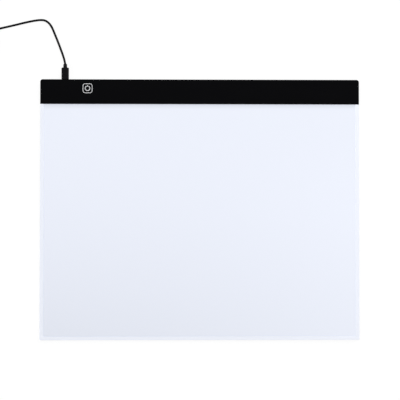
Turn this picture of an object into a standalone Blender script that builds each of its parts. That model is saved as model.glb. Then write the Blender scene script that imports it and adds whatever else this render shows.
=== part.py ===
"""LED tracing pad: an edge-lit A3 light panel with a black control bar and a detachable USB cable.

Metres, +X to the right, +Y towards the bar, +Z up. The origin lies under the middle of the pad, at
the height of the table that its feet stand on. Every level and place below the driving dimensions
is worked out from them, so a changed size carries its neighbours along.
"""

import math

import bmesh
import bpy
import numpy as np
from mathutils import Matrix, Vector

# Driving dimensions of the pad
PAD_WIDTH = 0.450
PAD_DEPTH = 0.367
BAR_DEPTH = 0.0347
TOP_CORNER_RADIUS = 0.0035
BOTTOM_CORNER_RADIUS = 0.0010
RIM_WIDTH = 0.0050
LEDGE_WIDTH = 0.0030
RIM_EDGE_RADIUS = 0.0004
BAR_EDGE_RADIUS = 0.0003
OVERRUN = 0.0010

# Gaps: sheets that are stuck together, seated pieces, running fits and the seam round the panel
FILM_GAP = 0.00005
FIT_GAP = 0.0001
SEAT_GAP = 0.0003
SEAM_GAP = 0.0003

# The laminated stack, from the floor of the rear cover upwards
FOOT_HEIGHT = 0.0012
FLOOR_THICKNESS = 0.0012
REFLECTOR_THICKNESS = 0.00025
GUIDE_THICKNESS = 0.0025
DIFFUSER_THICKNESS = 0.00025
TAPE_THICKNESS = 0.00015
PANEL_THICKNESS = 0.0010
PANEL_EDGE_RADIUS = 0.00015

FLOOR_BOTTOM = FOOT_HEIGHT
FLOOR_TOP = FLOOR_BOTTOM + FLOOR_THICKNESS
REFLECTOR_BOTTOM = FLOOR_TOP + FILM_GAP
GUIDE_BOTTOM = REFLECTOR_BOTTOM + REFLECTOR_THICKNESS + FILM_GAP
GUIDE_TOP = GUIDE_BOTTOM + GUIDE_THICKNESS
DIFFUSER_BOTTOM = GUIDE_TOP + FILM_GAP
DIFFUSER_TOP = DIFFUSER_BOTTOM + DIFFUSER_THICKNESS
PANEL_BOTTOM = DIFFUSER_TOP + FILM_GAP
PANEL_TOP = PANEL_BOTTOM + PANEL_THICKNESS
PANEL_TAPE_BOTTOM = PANEL_BOTTOM - FILM_GAP - TAPE_THICKNESS
LEDGE_TOP = PANEL_TAPE_BOTTOM - FILM_GAP
SHIELD_BOTTOM = DIFFUSER_TOP + FILM_GAP
SHIELD_TOP = SHIELD_BOTTOM + TAPE_THICKNESS

# Plan of the stack
HALF_WIDTH = PAD_WIDTH / 2
HALF_DEPTH = PAD_DEPTH / 2
BAR_EDGE_Y = HALF_DEPTH - BAR_DEPTH
RECESS_X = HALF_WIDTH - RIM_WIDTH
RECESS_Y = -HALF_DEPTH + RIM_WIDTH
POCKET_X = RECESS_X - LEDGE_WIDTH
POCKET_Y = RECESS_Y + LEDGE_WIDTH
GUIDE_UNDER_BAR = 0.0078
GUIDE_TOP_Y = BAR_EDGE_Y + GUIDE_UNDER_BAR
EDGE_TAPE_ROOM = FILM_GAP + TAPE_THICKNESS + FILM_GAP
GUIDE_X = POCKET_X - EDGE_TAPE_ROOM
GUIDE_Y = POCKET_Y + EDGE_TAPE_ROOM
SHIELD_SETBACK = 0.0008

# LED strip, standing on edge between the light guide and its rib
LED_WIDTH = 0.0040
LED_HEIGHT = 0.0014
LED_DEPTH = 0.0007
LED_PITCH = 0.0090
LED_AIR_GAP = 0.0003
STRIP_THICKNESS = 0.0008
STRIP_HEIGHT = 0.0028
STRIP_END_MARGIN = 0.0020
RIB_THICKNESS = 0.0012
WIRE_NOTCH_WIDTH = 0.0060
LED_FACE_Y = GUIDE_TOP_Y + LED_AIR_GAP
STRIP_FRONT_Y = LED_FACE_Y + LED_DEPTH
STRIP_BACK_Y = STRIP_FRONT_Y + STRIP_THICKNESS
STRIP_TAPE_Y = STRIP_BACK_Y + FILM_GAP
RIB_FRONT_Y = STRIP_TAPE_Y + TAPE_THICKNESS + FILM_GAP
RIB_BACK_Y = RIB_FRONT_Y + RIB_THICKNESS
GUIDE_MIDDLE = (GUIDE_BOTTOM + GUIDE_TOP) / 2

# Control board and what is soldered to it
SOCKET_FROM_LEFT = 0.0348
KEY_FROM_LEFT = 0.0666
KEY_DEPTH_SHARE = 0.366
BOARD_THICKNESS = 0.0008
BOARD_TO_RIB = 0.0015
BOARD_LEFT_MARGIN = 0.0100
BOARD_RIGHT_MARGIN = 0.0130
BOARD_CORNER_RADIUS = 0.0005
ELECTRODE_SIZE = 0.0100
ELECTRODE_RADIUS = 0.0015
CHIP_LENGTH = 0.0049
CHIP_WIDTH = 0.0039
CHIP_HEIGHT = 0.0014
CHIP_LEGS_PER_SIDE = 4
CHIP_LEG_REACH = 0.0010
CHIP_LEG_WIDTH = 0.0004
CHIP_LEG_PITCH = 0.00127
CHIP_LEG_THICKNESS = 0.0002
CHIP_FROM_SOCKET = 0.0160
CHIP_STAND_OFF = 0.0001
TRANSISTOR_LENGTH = 0.0045
TRANSISTOR_WIDTH = 0.0025
TRANSISTOR_HEIGHT = 0.0015
CAPACITOR_LENGTH = 0.0035
CAPACITOR_WIDTH = 0.0028
CAPACITOR_HEIGHT = 0.0019
CAPACITOR_FROM_SOCKET = 0.0093
TRANSISTOR_FROM_KEY = 0.0092
SOCKET_X = -HALF_WIDTH + SOCKET_FROM_LEFT
KEY_X = -HALF_WIDTH + KEY_FROM_LEFT
KEY_Y = HALF_DEPTH - KEY_DEPTH_SHARE * BAR_DEPTH
BOARD_BOTTOM = FLOOR_TOP + FIT_GAP
BOARD_TOP = BOARD_BOTTOM + BOARD_THICKNESS

# Micro-USB socket and plug
SOCKET_WIDTH = 0.0075
SOCKET_HEIGHT = 0.0025
SOCKET_DEPTH = 0.0060
SOCKET_WALL = 0.00025
SOCKET_RECESS = 0.0003
SOCKET_CORNER_RADIUS = 0.0007
SOCKET_BACK_BLOCK = 0.0010
TONGUE_WIDTH = 0.0037
TONGUE_THICKNESS = 0.0005
TONGUE_SETBACK = 0.0008
SOCKET_BOTTOM = BOARD_TOP + FILM_GAP
SOCKET_TOP = SOCKET_BOTTOM + SOCKET_HEIGHT
SOCKET_AXIS_Z = SOCKET_BOTTOM + SOCKET_HEIGHT / 2
SOCKET_FRONT_Y = HALF_DEPTH - SOCKET_RECESS
SOCKET_BACK_Y = SOCKET_FRONT_Y - SOCKET_DEPTH

# Bar cover
BAR_PLATE_THICKNESS = 0.0012
BAR_WALL = 0.0016
BAR_CEILING = max(SOCKET_TOP, SHIELD_TOP) + SEAT_GAP
BAR_TOP = BAR_CEILING + BAR_PLATE_THICKNESS
BAR_BOTTOM = FLOOR_TOP + FILM_GAP
LIP_THICKNESS = 0.0012
LIP_HEIGHT = 0.0016
LIP_END_MARGIN = 0.0060
BOARD_FRONT_Y = HALF_DEPTH - BAR_WALL - SEAT_GAP
BOARD_DEPTH = BOARD_FRONT_Y - RIB_BACK_Y - BOARD_TO_RIB

# Screws that hold the bar cover to the rear cover
SCREW_SPAN_SHARES = (-0.95, -0.56, -0.18, 0.18, 0.56, 0.95)
SCREW_DEPTH_SHARE = 0.33
SCREW_HEAD_RADIUS = 0.0019
SCREW_HEAD_HEIGHT = 0.0012
SCREW_HEAD_RECESS = 0.0003
SCREW_SHANK_RADIUS = 0.0010
SCREW_SHANK_LENGTH = 0.0030
CROSS_WIDTH = 0.0005
CROSS_LENGTH = 0.0021
CROSS_DEPTH = 0.0007
WELL_WALL = 0.0010
WELL_ROOF = 0.0010
PILOT_SPARE_DEPTH = 0.0002
BOSS_WALL = 0.0013
SCREW_Y = HALF_DEPTH - SCREW_DEPTH_SHARE * BAR_DEPTH
SCREW_HEAD_BOTTOM = FLOOR_BOTTOM + SCREW_HEAD_RECESS
SCREW_SEAT = SCREW_HEAD_BOTTOM + SCREW_HEAD_HEIGHT + FIT_GAP
WELL_RADIUS = SCREW_HEAD_RADIUS + SEAT_GAP
WELL_TOP = SCREW_SEAT + WELL_ROOF
PILOT_RADIUS = SCREW_SHANK_RADIUS + FIT_GAP
SCREW_TIP = SCREW_SEAT + SCREW_SHANK_LENGTH

# Rubber feet
FOOT_RADIUS = 0.0050
FOOT_FROM_EDGE = 0.0220
FOOT_RECESS = 0.0004
FOOT_EDGE_RADIUS = 0.0004

# Wires between the control board and the LED strip
WIRE_RADIUS = 0.00045
WIRE_SPACING = 0.0022
WIRE_RUN_ON_BOARD = 0.0030

# Plug at the pad's end of the cable
PLUG_WIDTH = 0.0103
PLUG_THICKNESS = 0.0064
PLUG_LENGTH = 0.0163
PLUG_CORNER_RADIUS = 0.0021
PLUG_SHOULDER_LENGTH = 0.0014
PLUG_SHOULDER_DROP = 0.0010
PLUG_FACE_ROUND = 0.0005
PLUG_NECK_WIDTH = 0.0054
PLUG_NECK_TIP_WIDTH = 0.0050
PLUG_NECK_LENGTH = 0.0050
PLUG_SHELL_WALL = 0.0003
PLUG_SHELL_REACH = 0.0052
PLUG_SHELL_ROOT = 0.0040
CONTACT_BLOCK_WIDTH = 0.0050
CONTACT_BLOCK_THICKNESS = 0.00045
CONTACT_BLOCK_SETBACK = 0.0006
PLUG_FACE_Y = HALF_DEPTH + SEAT_GAP
PLUG_SHELL_WIDTH = SOCKET_WIDTH - 2 * (SOCKET_WALL + FIT_GAP)
PLUG_SHELL_HEIGHT = SOCKET_HEIGHT - 2 * (SOCKET_WALL + FIT_GAP)
PLUG_SHELL_CORNER = SOCKET_CORNER_RADIUS - SOCKET_WALL - FIT_GAP
PLUG_NECK_END_Y = PLUG_FACE_Y + PLUG_LENGTH + PLUG_NECK_LENGTH

# Plug at the far end of the cable
USB_A_WIDTH = 0.0156
USB_A_THICKNESS = 0.0080
USB_A_LENGTH = 0.0240
USB_A_CORNER_RADIUS = 0.0022
USB_A_SHOULDER_LENGTH = 0.0050
USB_A_SHOULDER_DROP = 0.0034
USB_A_FACE_ROUND = 0.0006
USB_A_NECK_WIDTH = 0.0062
USB_A_NECK_TIP_WIDTH = 0.0046
USB_A_NECK_LENGTH = 0.0090
USB_A_NECK_GROOVE = 0.0005
USB_A_NECK_GROOVES = 3
USB_A_SHELL_WIDTH = 0.0120
USB_A_SHELL_HEIGHT = 0.0045
USB_A_SHELL_WALL = 0.0004
USB_A_SHELL_REACH = 0.0120
USB_A_SHELL_ROOT = 0.0045
USB_A_SHELL_CORNER = 0.0006
USB_A_WINDOW_WIDTH = 0.0024
USB_A_WINDOW_LENGTH = 0.0022
USB_A_WINDOW_SPACING = 0.0050
USB_A_WINDOW_FROM_TIP = 0.0052
USB_A_BLOCK_THICKNESS = 0.0018
USB_A_BLOCK_SETBACK = 0.0006

# Cord: its route starts at the neck of the plug and is chosen by hand, as offsets from there
CORD_RADIUS = 0.00155
CORD_POINT_STEP = 0.0058
CORD_ROUTE = (
    (0.0, 0.0, 0.0),
    (-0.0008, 0.0039, -0.0003),
    (-0.0030, 0.0112, -0.0012),
    (-0.0062, 0.0200, -0.0023),
    (-0.0108, 0.0321, -0.0029),
    (-0.0149, 0.0421, -0.0030),
    (-0.0184, 0.0504, -0.0030),
    (-0.0227, 0.0574, -0.0030),
    (-0.0292, 0.0620, -0.0030),
    (-0.0376, 0.0625, -0.0030),
    (-0.0520, 0.0601, -0.0030),
    (-0.0745, 0.0547, -0.0030),
    (-0.0913, 0.0508, -0.0030),
    (-0.1056, 0.0480, -0.0029),
    (-0.1176, 0.0464, -0.0025),
    (-0.1266, 0.0460, -0.0023),
)
TAIL_ROUTE = (
    (0.0, 0.0, 0.0),
    (0.0, -0.0050, -0.0003),
    (0.0004, -0.0110, -0.0019),
    (0.0022, -0.0180, -0.0051),
    (0.0048, -0.0250, -0.0080),
    (0.0068, -0.0310, -0.0090),
    (0.0072, -0.0360, -0.0091),
)

# Coil of the cord that is put away
COIL_LAYERS = 4
COIL_TURNS_PER_LAYER = 3
COIL_LAST_QUARTER_SHARE = 0.25
COIL_CLIMB_SHARE = 0.5
COIL_INNER_RADIUS = 0.0112
COIL_LOOP_GAP = 0.0005
COIL_POINTS_PER_TURN = 24
COIL_LEAST_GAP = 0.0004
TIE_WIDTH = 0.0040
TIE_THICKNESS = 0.0005
TIE_CORNER_RADIUS = 0.0012
COIL_PITCH = 2 * CORD_RADIUS + COIL_LOOP_GAP
COIL_OUTER_RADIUS = COIL_INNER_RADIUS + COIL_TURNS_PER_LAYER * COIL_PITCH

# How finely round shapes are divided
CORNER_STEPS = 4
TOP_CORNER_STEPS = 8
ROUND_STEPS = 32
SMALL_ROUND_STEPS = 16
EDGE_STEPS = 2
BAR_EDGE_STEPS = 3
SHOULDER_STEPS = 5
LOOPS_PER_GROOVE = 4
CORD_BEVEL_STEPS = 2
COIL_BEVEL_STEPS = 1
SHARP_ANGLE = math.radians(35)


def clear_scene():
    """Remove what the scene holds."""
    for item in list(bpy.data.objects):
        bpy.data.objects.remove(item, do_unlink=True)


def paint(name, colour, roughness, metallic=0.0, transmission=0.0):
    """A material of one colour, roughness and metallic value."""
    made = bpy.data.materials.new(name)
    made.use_nodes = True
    shader = made.node_tree.nodes["Principled BSDF"]
    shader.inputs["Base Color"].default_value = (*colour, 1.0)
    shader.inputs["Roughness"].default_value = roughness
    shader.inputs["Metallic"].default_value = metallic
    shader.inputs["Transmission Weight"].default_value = transmission
    made.diffuse_color = (*colour, 1.0)
    return made


def make_materials():
    """Every material of the pad and its cable, by name."""
    return {
        "white_plastic": paint("white_plastic", (0.86, 0.87, 0.88), 0.45),
        "lit_panel": paint("lit_panel", (0.86, 0.88, 0.95), 0.30),
        "clear_acrylic": paint("clear_acrylic", (0.93, 0.96, 0.97), 0.05, transmission=0.9),
        "white_film": paint("white_film", (0.92, 0.92, 0.92), 0.60),
        "grey_tape": paint("grey_tape", (0.70, 0.70, 0.71), 0.55),
        "black_gloss": paint("black_gloss", (0.006, 0.006, 0.007), 0.12),
        "black_tape": paint("black_tape", (0.012, 0.012, 0.013), 0.60),
        "circuit_board": paint("circuit_board", (0.02, 0.10, 0.05), 0.45),
        "led_board": paint("led_board", (0.82, 0.82, 0.80), 0.40),
        "chip_black": paint("chip_black", (0.02, 0.02, 0.022), 0.50),
        "capacitor_ochre": paint("capacitor_ochre", (0.60, 0.38, 0.08), 0.45),
        "copper_foam": paint("copper_foam", (0.55, 0.36, 0.22), 0.55, 0.6),
        "plated_steel": paint("plated_steel", (0.62, 0.62, 0.63), 0.28, 1.0),
        "screw_steel": paint("screw_steel", (0.35, 0.35, 0.36), 0.35, 1.0),
        "socket_black": paint("socket_black", (0.015, 0.015, 0.016), 0.45),
        "plug_white": paint("plug_white", (0.80, 0.80, 0.78), 0.40),
        "cord_black": paint("cord_black", (0.014, 0.014, 0.016), 0.42),
        "foot_rubber": paint("foot_rubber", (0.05, 0.05, 0.052), 0.75),
        "wire_red": paint("wire_red", (0.55, 0.03, 0.03), 0.45),
        "wire_black": paint("wire_black", (0.02, 0.02, 0.02), 0.45),
    }


def make_empty(name, place):
    """An empty that carries one rigid group of pieces."""
    empty = bpy.data.objects.new(name, None)
    empty.location = place
    bpy.context.collection.objects.link(empty)
    return empty


def add_object(name, data, place, parent=None, material=None):
    """Link an object at a place in the world, under its parent's empty."""
    made = bpy.data.objects.new(name, data)
    bpy.context.collection.objects.link(made)
    offset = parent.location if parent else Vector()
    made.parent = parent
    made.location = Vector(place) - offset
    if material:
        data.materials.append(material)
    return made


def finish_mesh(name, bm):
    """Turn a bmesh into a mesh with its faces pointing out and its round sides smooth."""
    bmesh.ops.recalc_face_normals(bm, faces=bm.faces)
    mesh = bpy.data.meshes.new(name)
    bm.to_mesh(mesh)
    bm.free()
    mesh.shade_smooth()
    mesh.set_sharp_from_angle(angle=SHARP_ANGLE)
    return mesh


def rounded_outline(width, depth, radii, steps=CORNER_STEPS):
    """Points round a rectangle about its middle, from the top right corner round to the left.

    radii holds the corners' radii: top right, top left, bottom left, bottom right.
    """
    signs = ((1, 1), (-1, 1), (-1, -1), (1, -1))
    points = []
    for number, ((sx, sy), radius) in enumerate(zip(signs, radii)):
        middle = (sx * (width / 2 - radius), sy * (depth / 2 - radius))
        for step in range(steps + 1):
            angle = math.pi / 2 * (number + step / steps)
            points.append(
                (middle[0] + radius * math.cos(angle), middle[1] + radius * math.sin(angle))
            )
    return points


def rounded_loop(width, depth, radius, steps=CORNER_STEPS):
    """The same outline with four like corners."""
    return rounded_outline(width, depth, (radius,) * 4, steps)


def round_loop(radius, steps=ROUND_STEPS):
    """Points round a circle about the origin."""
    turns = [2 * math.pi * step / steps for step in range(steps)]
    return [(radius * math.cos(turn), radius * math.sin(turn)) for turn in turns]


def across_y(loop, y, dx=0.0, dz=0.0):
    """Stand a flat loop up across the Y axis."""
    return [Vector((u + dx, y, v + dz)) for u, v in loop]


def across_z(loop, z):
    """Lay a flat loop across the Z axis."""
    return [Vector((u, v, z)) for u, v in loop]


def skin_mesh(name, loops, wrap=False):
    """A closed mesh through loops of equal count: capped at both ends, or wrapped into a tube."""
    bm = bmesh.new()
    rows = [[bm.verts.new(point) for point in loop] for loop in loops]
    pairs = list(zip(rows, rows[1:]))
    if wrap:
        pairs.append((rows[-1], rows[0]))
    for row, after in pairs:
        count = len(row)
        for index in range(count):
            beside = (index + 1) % count
            bm.faces.new((row[index], row[beside], after[beside], after[index]))
    if not wrap:
        bm.faces.new(rows[0])
        bm.faces.new(rows[-1])
    return finish_mesh(name, bm)


def sleeve_mesh(name, outer, inner, first, last, lay):
    """A straight sleeve, open at both ends, between an outer and an inner loop."""
    loops = [lay(outer, first), lay(outer, last), lay(inner, last), lay(inner, first)]
    return skin_mesh(name, loops, wrap=True)


def prism_mesh(name, outline, bottom, top):
    """An upright prism over a flat outline."""
    return skin_mesh(name, [across_z(outline, bottom), across_z(outline, top)])


def box_mesh(name, size):
    """A box about its own middle."""
    bm = bmesh.new()
    bmesh.ops.create_cube(bm, size=1.0, matrix=Matrix.Diagonal((*size, 1.0)))
    return finish_mesh(name, bm)


def boxes_mesh(name, spans):
    """Several separate boxes in one mesh, each given by its low and high corner."""
    bm = bmesh.new()
    for low, high in spans:
        low, high = Vector(low), Vector(high)
        place = Matrix.Translation((low + high) / 2) @ Matrix.Diagonal((*(high - low), 1.0))
        bmesh.ops.create_cube(bm, size=1.0, matrix=place)
    return finish_mesh(name, bm)


def turned_mesh(name, profile, steps=ROUND_STEPS):
    """A closed solid turned about Z through a profile of radii and heights, bottom to top."""
    return skin_mesh(name, [across_z(round_loop(radius, steps), z) for radius, z in profile])


def soften(mesh, radius, steps, chosen):
    """Round the edges of a mesh that a test on their two ends chooses."""
    bm = bmesh.new()
    bm.from_mesh(mesh)
    edges = [edge for edge in bm.edges if chosen(*(vert.co for vert in edge.verts))]
    bmesh.ops.bevel(bm, geom=edges, offset=radius, segments=steps, profile=0.5, affect="EDGES")
    bm.to_mesh(mesh)
    bm.free()
    mesh.shade_smooth()
    mesh.set_sharp_from_angle(angle=SHARP_ANGLE)


def at_height(z):
    """A test for edges that lie level at a height."""
    return lambda one, other: abs(one.z - z) < FILM_GAP and abs(other.z - z) < FILM_GAP


def add_box(name, low, high, parent, material):
    """A box piece between two corners in the world."""
    low, high = Vector(low), Vector(high)
    return add_object(name, box_mesh(name, high - low), (low + high) / 2, parent, material)


def combine(target, tool, operation):
    """Cut or join a helper mesh with a piece; the helper itself is left out of the model."""
    tool.display_type = "WIRE"
    tool.hide_render = True
    step = target.modifiers.new(tool.name, "BOOLEAN")
    step.operation = operation
    step.solver = "EXACT"
    step.object = tool


def cut(target, mesh, place=(0.0, 0.0, 0.0)):
    """Take a mesh away from a piece."""
    combine(target, add_object(mesh.name, mesh, place), "DIFFERENCE")


def join(target, mesh, place=(0.0, 0.0, 0.0)):
    """Fuse a mesh with a piece."""
    combine(target, add_object(mesh.name, mesh, place), "UNION")


def screw_places():
    """Where the screws of the bar stand, left to right."""
    return [(share * HALF_WIDTH, SCREW_Y) for share in SCREW_SPAN_SHARES]


def foot_places():
    """Where the feet stand: one near each corner."""
    x = HALF_WIDTH - FOOT_FROM_EDGE
    y = HALF_DEPTH - FOOT_FROM_EDGE
    return [(-x, -y), (x, -y), (-x, y), (x, y)]


def pad_outline():
    """Outline of the rear cover in plan."""
    top, bottom = TOP_CORNER_RADIUS, BOTTOM_CORNER_RADIUS
    return rounded_outline(PAD_WIDTH, PAD_DEPTH, (top, top, bottom, bottom), TOP_CORNER_STEPS)


def notch_x():
    """Middle of the notch where the wires pass the rib: the right end of the board."""
    return KEY_X + BOARD_RIGHT_MARGIN - WIRE_NOTCH_WIDTH / 2


def rear_cover_walls():
    """The rib behind the LED strip and the lips that locate the bar cover."""
    low = FLOOR_TOP - FLOOR_THICKNESS / 2
    lip_x = HALF_WIDTH - BAR_WALL - FIT_GAP
    lip_y = HALF_DEPTH - BAR_WALL - FIT_GAP
    lip_top = FLOOR_TOP + LIP_HEIGHT
    lip_start_x = KEY_X + BOARD_RIGHT_MARGIN + LIP_END_MARGIN
    rib_gap = (notch_x() - WIRE_NOTCH_WIDTH / 2, notch_x() + WIRE_NOTCH_WIDTH / 2)
    spans = [
        ((-POCKET_X, RIB_FRONT_Y, low), (rib_gap[0], RIB_BACK_Y, DIFFUSER_TOP)),
        ((rib_gap[1], RIB_FRONT_Y, low), (POCKET_X, RIB_BACK_Y, DIFFUSER_TOP)),
        ((lip_start_x, lip_y - LIP_THICKNESS, low), (lip_x - LIP_END_MARGIN, lip_y, lip_top)),
    ]
    for side in (-1, 1):
        edges = sorted((side * lip_x, side * (lip_x - LIP_THICKNESS)))
        front, back = BAR_EDGE_Y + LIP_END_MARGIN, lip_y - LIP_END_MARGIN
        spans.append(((edges[0], front, low), (edges[1], back, lip_top)))
    return boxes_mesh("rear_cover_walls", spans)


def make_rear_cover(parent, material):
    """White back moulding: floor, rim with its ledge, strip rib, lips, screw wells and foot seats."""
    mesh = prism_mesh("rear_cover", pad_outline(), FLOOR_BOTTOM, PANEL_TOP)
    soften(mesh, RIM_EDGE_RADIUS, EDGE_STEPS, at_height(PANEL_TOP))
    soften(mesh, RIM_EDGE_RADIUS, EDGE_STEPS, at_height(FLOOR_BOTTOM))
    cover = add_object("rear_cover", mesh, (0.0, 0.0, 0.0), parent, material)
    over = PANEL_TOP + OVERRUN
    far_x, far_y = HALF_WIDTH + OVERRUN, HALF_DEPTH + OVERRUN
    bar_start = BAR_EDGE_Y - FIT_GAP
    rooms = {
        "bar_room": ((-far_x, bar_start, FLOOR_TOP), (far_x, far_y, over)),
        "panel_room": ((-RECESS_X, RECESS_Y, LEDGE_TOP), (RECESS_X, far_y, over)),
        "stack_room": ((-POCKET_X, POCKET_Y, FLOOR_TOP), (POCKET_X, far_y, over)),
    }
    for name, span in rooms.items():
        cut(cover, boxes_mesh(name, [span]))
    join(cover, rear_cover_walls())
    under = FLOOR_BOTTOM - OVERRUN
    for number, (x, y) in enumerate(screw_places(), start=1):
        well = [(WELL_RADIUS + WELL_WALL, FLOOR_TOP - FLOOR_THICKNESS / 2)]
        well.append((WELL_RADIUS + WELL_WALL, WELL_TOP))
        join(cover, turned_mesh(f"well_{number}", well), (x, y, 0.0))
        bore = [(WELL_RADIUS, under), (WELL_RADIUS, SCREW_SEAT)]
        bore += [(PILOT_RADIUS, SCREW_SEAT), (PILOT_RADIUS, WELL_TOP + OVERRUN)]
        cut(cover, turned_mesh(f"well_bore_{number}", bore), (x, y, 0.0))
    for number, (x, y) in enumerate(foot_places(), start=1):
        seat = [(FOOT_RADIUS + SEAT_GAP, under), (FOOT_RADIUS + SEAT_GAP, FLOOR_BOTTOM + FOOT_RECESS)]
        cut(cover, turned_mesh(f"foot_seat_{number}", seat), (x, y, 0.0))


def make_light_stack(parent, paints):
    """The sheets of the edge-lit panel, bottom to top, and the tapes that hold them."""
    add_box(
        "reflector_sheet",
        (-GUIDE_X, GUIDE_Y, REFLECTOR_BOTTOM),
        (GUIDE_X, GUIDE_TOP_Y, REFLECTOR_BOTTOM + REFLECTOR_THICKNESS),
        parent,
        paints["white_film"],
    )
    add_box(
        "light_guide_plate",
        (-GUIDE_X, GUIDE_Y, GUIDE_BOTTOM),
        (GUIDE_X, GUIDE_TOP_Y, GUIDE_TOP),
        parent,
        paints["clear_acrylic"],
    )
    add_box(
        "diffuser_sheet",
        (-GUIDE_X, GUIDE_Y, DIFFUSER_BOTTOM),
        (GUIDE_X, GUIDE_TOP_Y, DIFFUSER_TOP),
        parent,
        paints["white_film"],
    )
    make_edge_tapes(parent, paints["white_film"])
    make_panel_tape(parent, paints["white_film"])
    make_front_panel(parent, paints["lit_panel"])


def make_edge_tapes(parent, material):
    """Reflecting tapes on the three edges of the light guide that have no LEDs."""
    inner = GUIDE_X + FILM_GAP
    outer = inner + TAPE_THICKNESS
    low, high = GUIDE_BOTTOM, GUIDE_TOP
    tape_y = GUIDE_Y - FILM_GAP
    add_box("edge_tape_left", (-outer, GUIDE_Y, low), (-inner, GUIDE_TOP_Y, high), parent, material)
    add_box("edge_tape_right", (inner, GUIDE_Y, low), (outer, GUIDE_TOP_Y, high), parent, material)
    add_box(
        "edge_tape_bottom",
        (-GUIDE_X, tape_y - TAPE_THICKNESS, low),
        (GUIDE_X, tape_y, high),
        parent,
        material,
    )


def make_panel_tape(parent, material):
    """Double-sided tape on the ledge of the rim, in one piece round three sides."""
    out_x, out_y = RECESS_X - SEAM_GAP, RECESS_Y + SEAM_GAP
    in_x, in_y = POCKET_X + FILM_GAP, POCKET_Y - FILM_GAP
    end_y = BAR_EDGE_Y - SEAM_GAP
    outline = [(-out_x, end_y), (-out_x, out_y), (out_x, out_y), (out_x, end_y)]
    outline += [(in_x, end_y), (in_x, in_y), (-in_x, in_y), (-in_x, end_y)]
    top = PANEL_TAPE_BOTTOM + TAPE_THICKNESS
    mesh = prism_mesh("panel_tape", outline, PANEL_TAPE_BOTTOM, top)
    add_object("panel_tape", mesh, (0.0, 0.0, 0.0), parent, material)


def make_front_panel(parent, material):
    """Frosted acrylic sheet, flush with the rim and butted against the bar."""
    low_y, high_y = RECESS_Y + SEAM_GAP, BAR_EDGE_Y - SEAM_GAP
    width, depth = 2 * (RECESS_X - SEAM_GAP), high_y - low_y
    mesh = box_mesh("front_panel", (width, depth, PANEL_THICKNESS))
    soften(mesh, PANEL_EDGE_RADIUS, EDGE_STEPS, at_height(PANEL_THICKNESS / 2))
    middle = (0.0, (low_y + high_y) / 2, PANEL_BOTTOM + PANEL_THICKNESS / 2)
    add_object("front_panel", mesh, middle, parent, material)


def make_led_strip(parent, paints):
    """Circuit strip on edge with its row of LEDs facing the light guide, and its two tapes."""
    low, high = GUIDE_MIDDLE - STRIP_HEIGHT / 2, GUIDE_MIDDLE + STRIP_HEIGHT / 2
    end_x = POCKET_X - SEAT_GAP
    strip = add_box(
        "led_strip",
        (-end_x, STRIP_FRONT_Y, low),
        (end_x, STRIP_BACK_Y, high),
        parent,
        paints["led_board"],
    )
    count = int((2 * (end_x - STRIP_END_MARGIN) - LED_WIDTH) / LED_PITCH) + 1
    first = -LED_PITCH * (count - 1) / 2
    spans = []
    for number in range(count):
        x = first + number * LED_PITCH
        corner = (x - LED_WIDTH / 2, LED_FACE_Y, GUIDE_MIDDLE - LED_HEIGHT / 2)
        root_y = STRIP_FRONT_Y + STRIP_THICKNESS / 2
        spans.append((corner, (x + LED_WIDTH / 2, root_y, GUIDE_MIDDLE + LED_HEIGHT / 2)))
    join(strip, boxes_mesh("led_row", spans))
    back = STRIP_TAPE_Y + TAPE_THICKNESS
    add_box("strip_tape", (-end_x, STRIP_TAPE_Y, low), (end_x, back, high), parent, paints["grey_tape"])
    add_box(
        "light_shield_tape",
        (-POCKET_X, BAR_EDGE_Y + SHIELD_SETBACK, SHIELD_BOTTOM),
        (POCKET_X, RIB_BACK_Y, SHIELD_TOP),
        parent,
        paints["black_tape"],
    )


def make_bar_cover(parent, material):
    """Glossy black cover of the bar: plate, three walls, screw bosses and the socket's slot."""
    top = TOP_CORNER_RADIUS
    outline = rounded_outline(PAD_WIDTH, BAR_DEPTH, (top, top, 0.0, 0.0), TOP_CORNER_STEPS)
    middle_y = BAR_EDGE_Y + BAR_DEPTH / 2
    outline = [point for spot, point in enumerate(outline) if point not in outline[:spot]]
    mesh = prism_mesh("bar_cover", outline, BAR_BOTTOM, BAR_TOP)
    soften(mesh, BAR_EDGE_RADIUS, BAR_EDGE_STEPS, at_height(BAR_TOP))
    cover = add_object("bar_cover", mesh, (0.0, middle_y, 0.0), parent, material)
    inner_x, inner_y = HALF_WIDTH - BAR_WALL, HALF_DEPTH - BAR_WALL
    room = ((-inner_x, BAR_EDGE_Y - OVERRUN, BAR_BOTTOM - OVERRUN), (inner_x, inner_y, BAR_CEILING))
    cut(cover, boxes_mesh("cover_room", [room]))
    radius = PILOT_RADIUS + BOSS_WALL
    for number, (x, y) in enumerate(screw_places(), start=1):
        boss = [(radius, WELL_TOP + FIT_GAP), (radius, BAR_CEILING + BAR_PLATE_THICKNESS / 2)]
        join(cover, turned_mesh(f"boss_{number}", boss), (x, y, 0.0))
        pilot_top = SCREW_TIP + PILOT_SPARE_DEPTH
        pilot = [(PILOT_RADIUS, WELL_TOP - OVERRUN), (PILOT_RADIUS, pilot_top)]
        cut(cover, turned_mesh(f"pilot_{number}", pilot, SMALL_ROUND_STEPS), (x, y, 0.0))
    slot = rounded_loop(
        SOCKET_WIDTH + 2 * SEAT_GAP, SOCKET_HEIGHT + 2 * SEAT_GAP, SOCKET_CORNER_RADIUS + SEAT_GAP
    )
    loops = [
        across_y(slot, y, SOCKET_X, SOCKET_AXIS_Z) for y in (inner_y - OVERRUN, HALF_DEPTH + OVERRUN)
    ]
    cut(cover, skin_mesh("socket_slot", loops))


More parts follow.
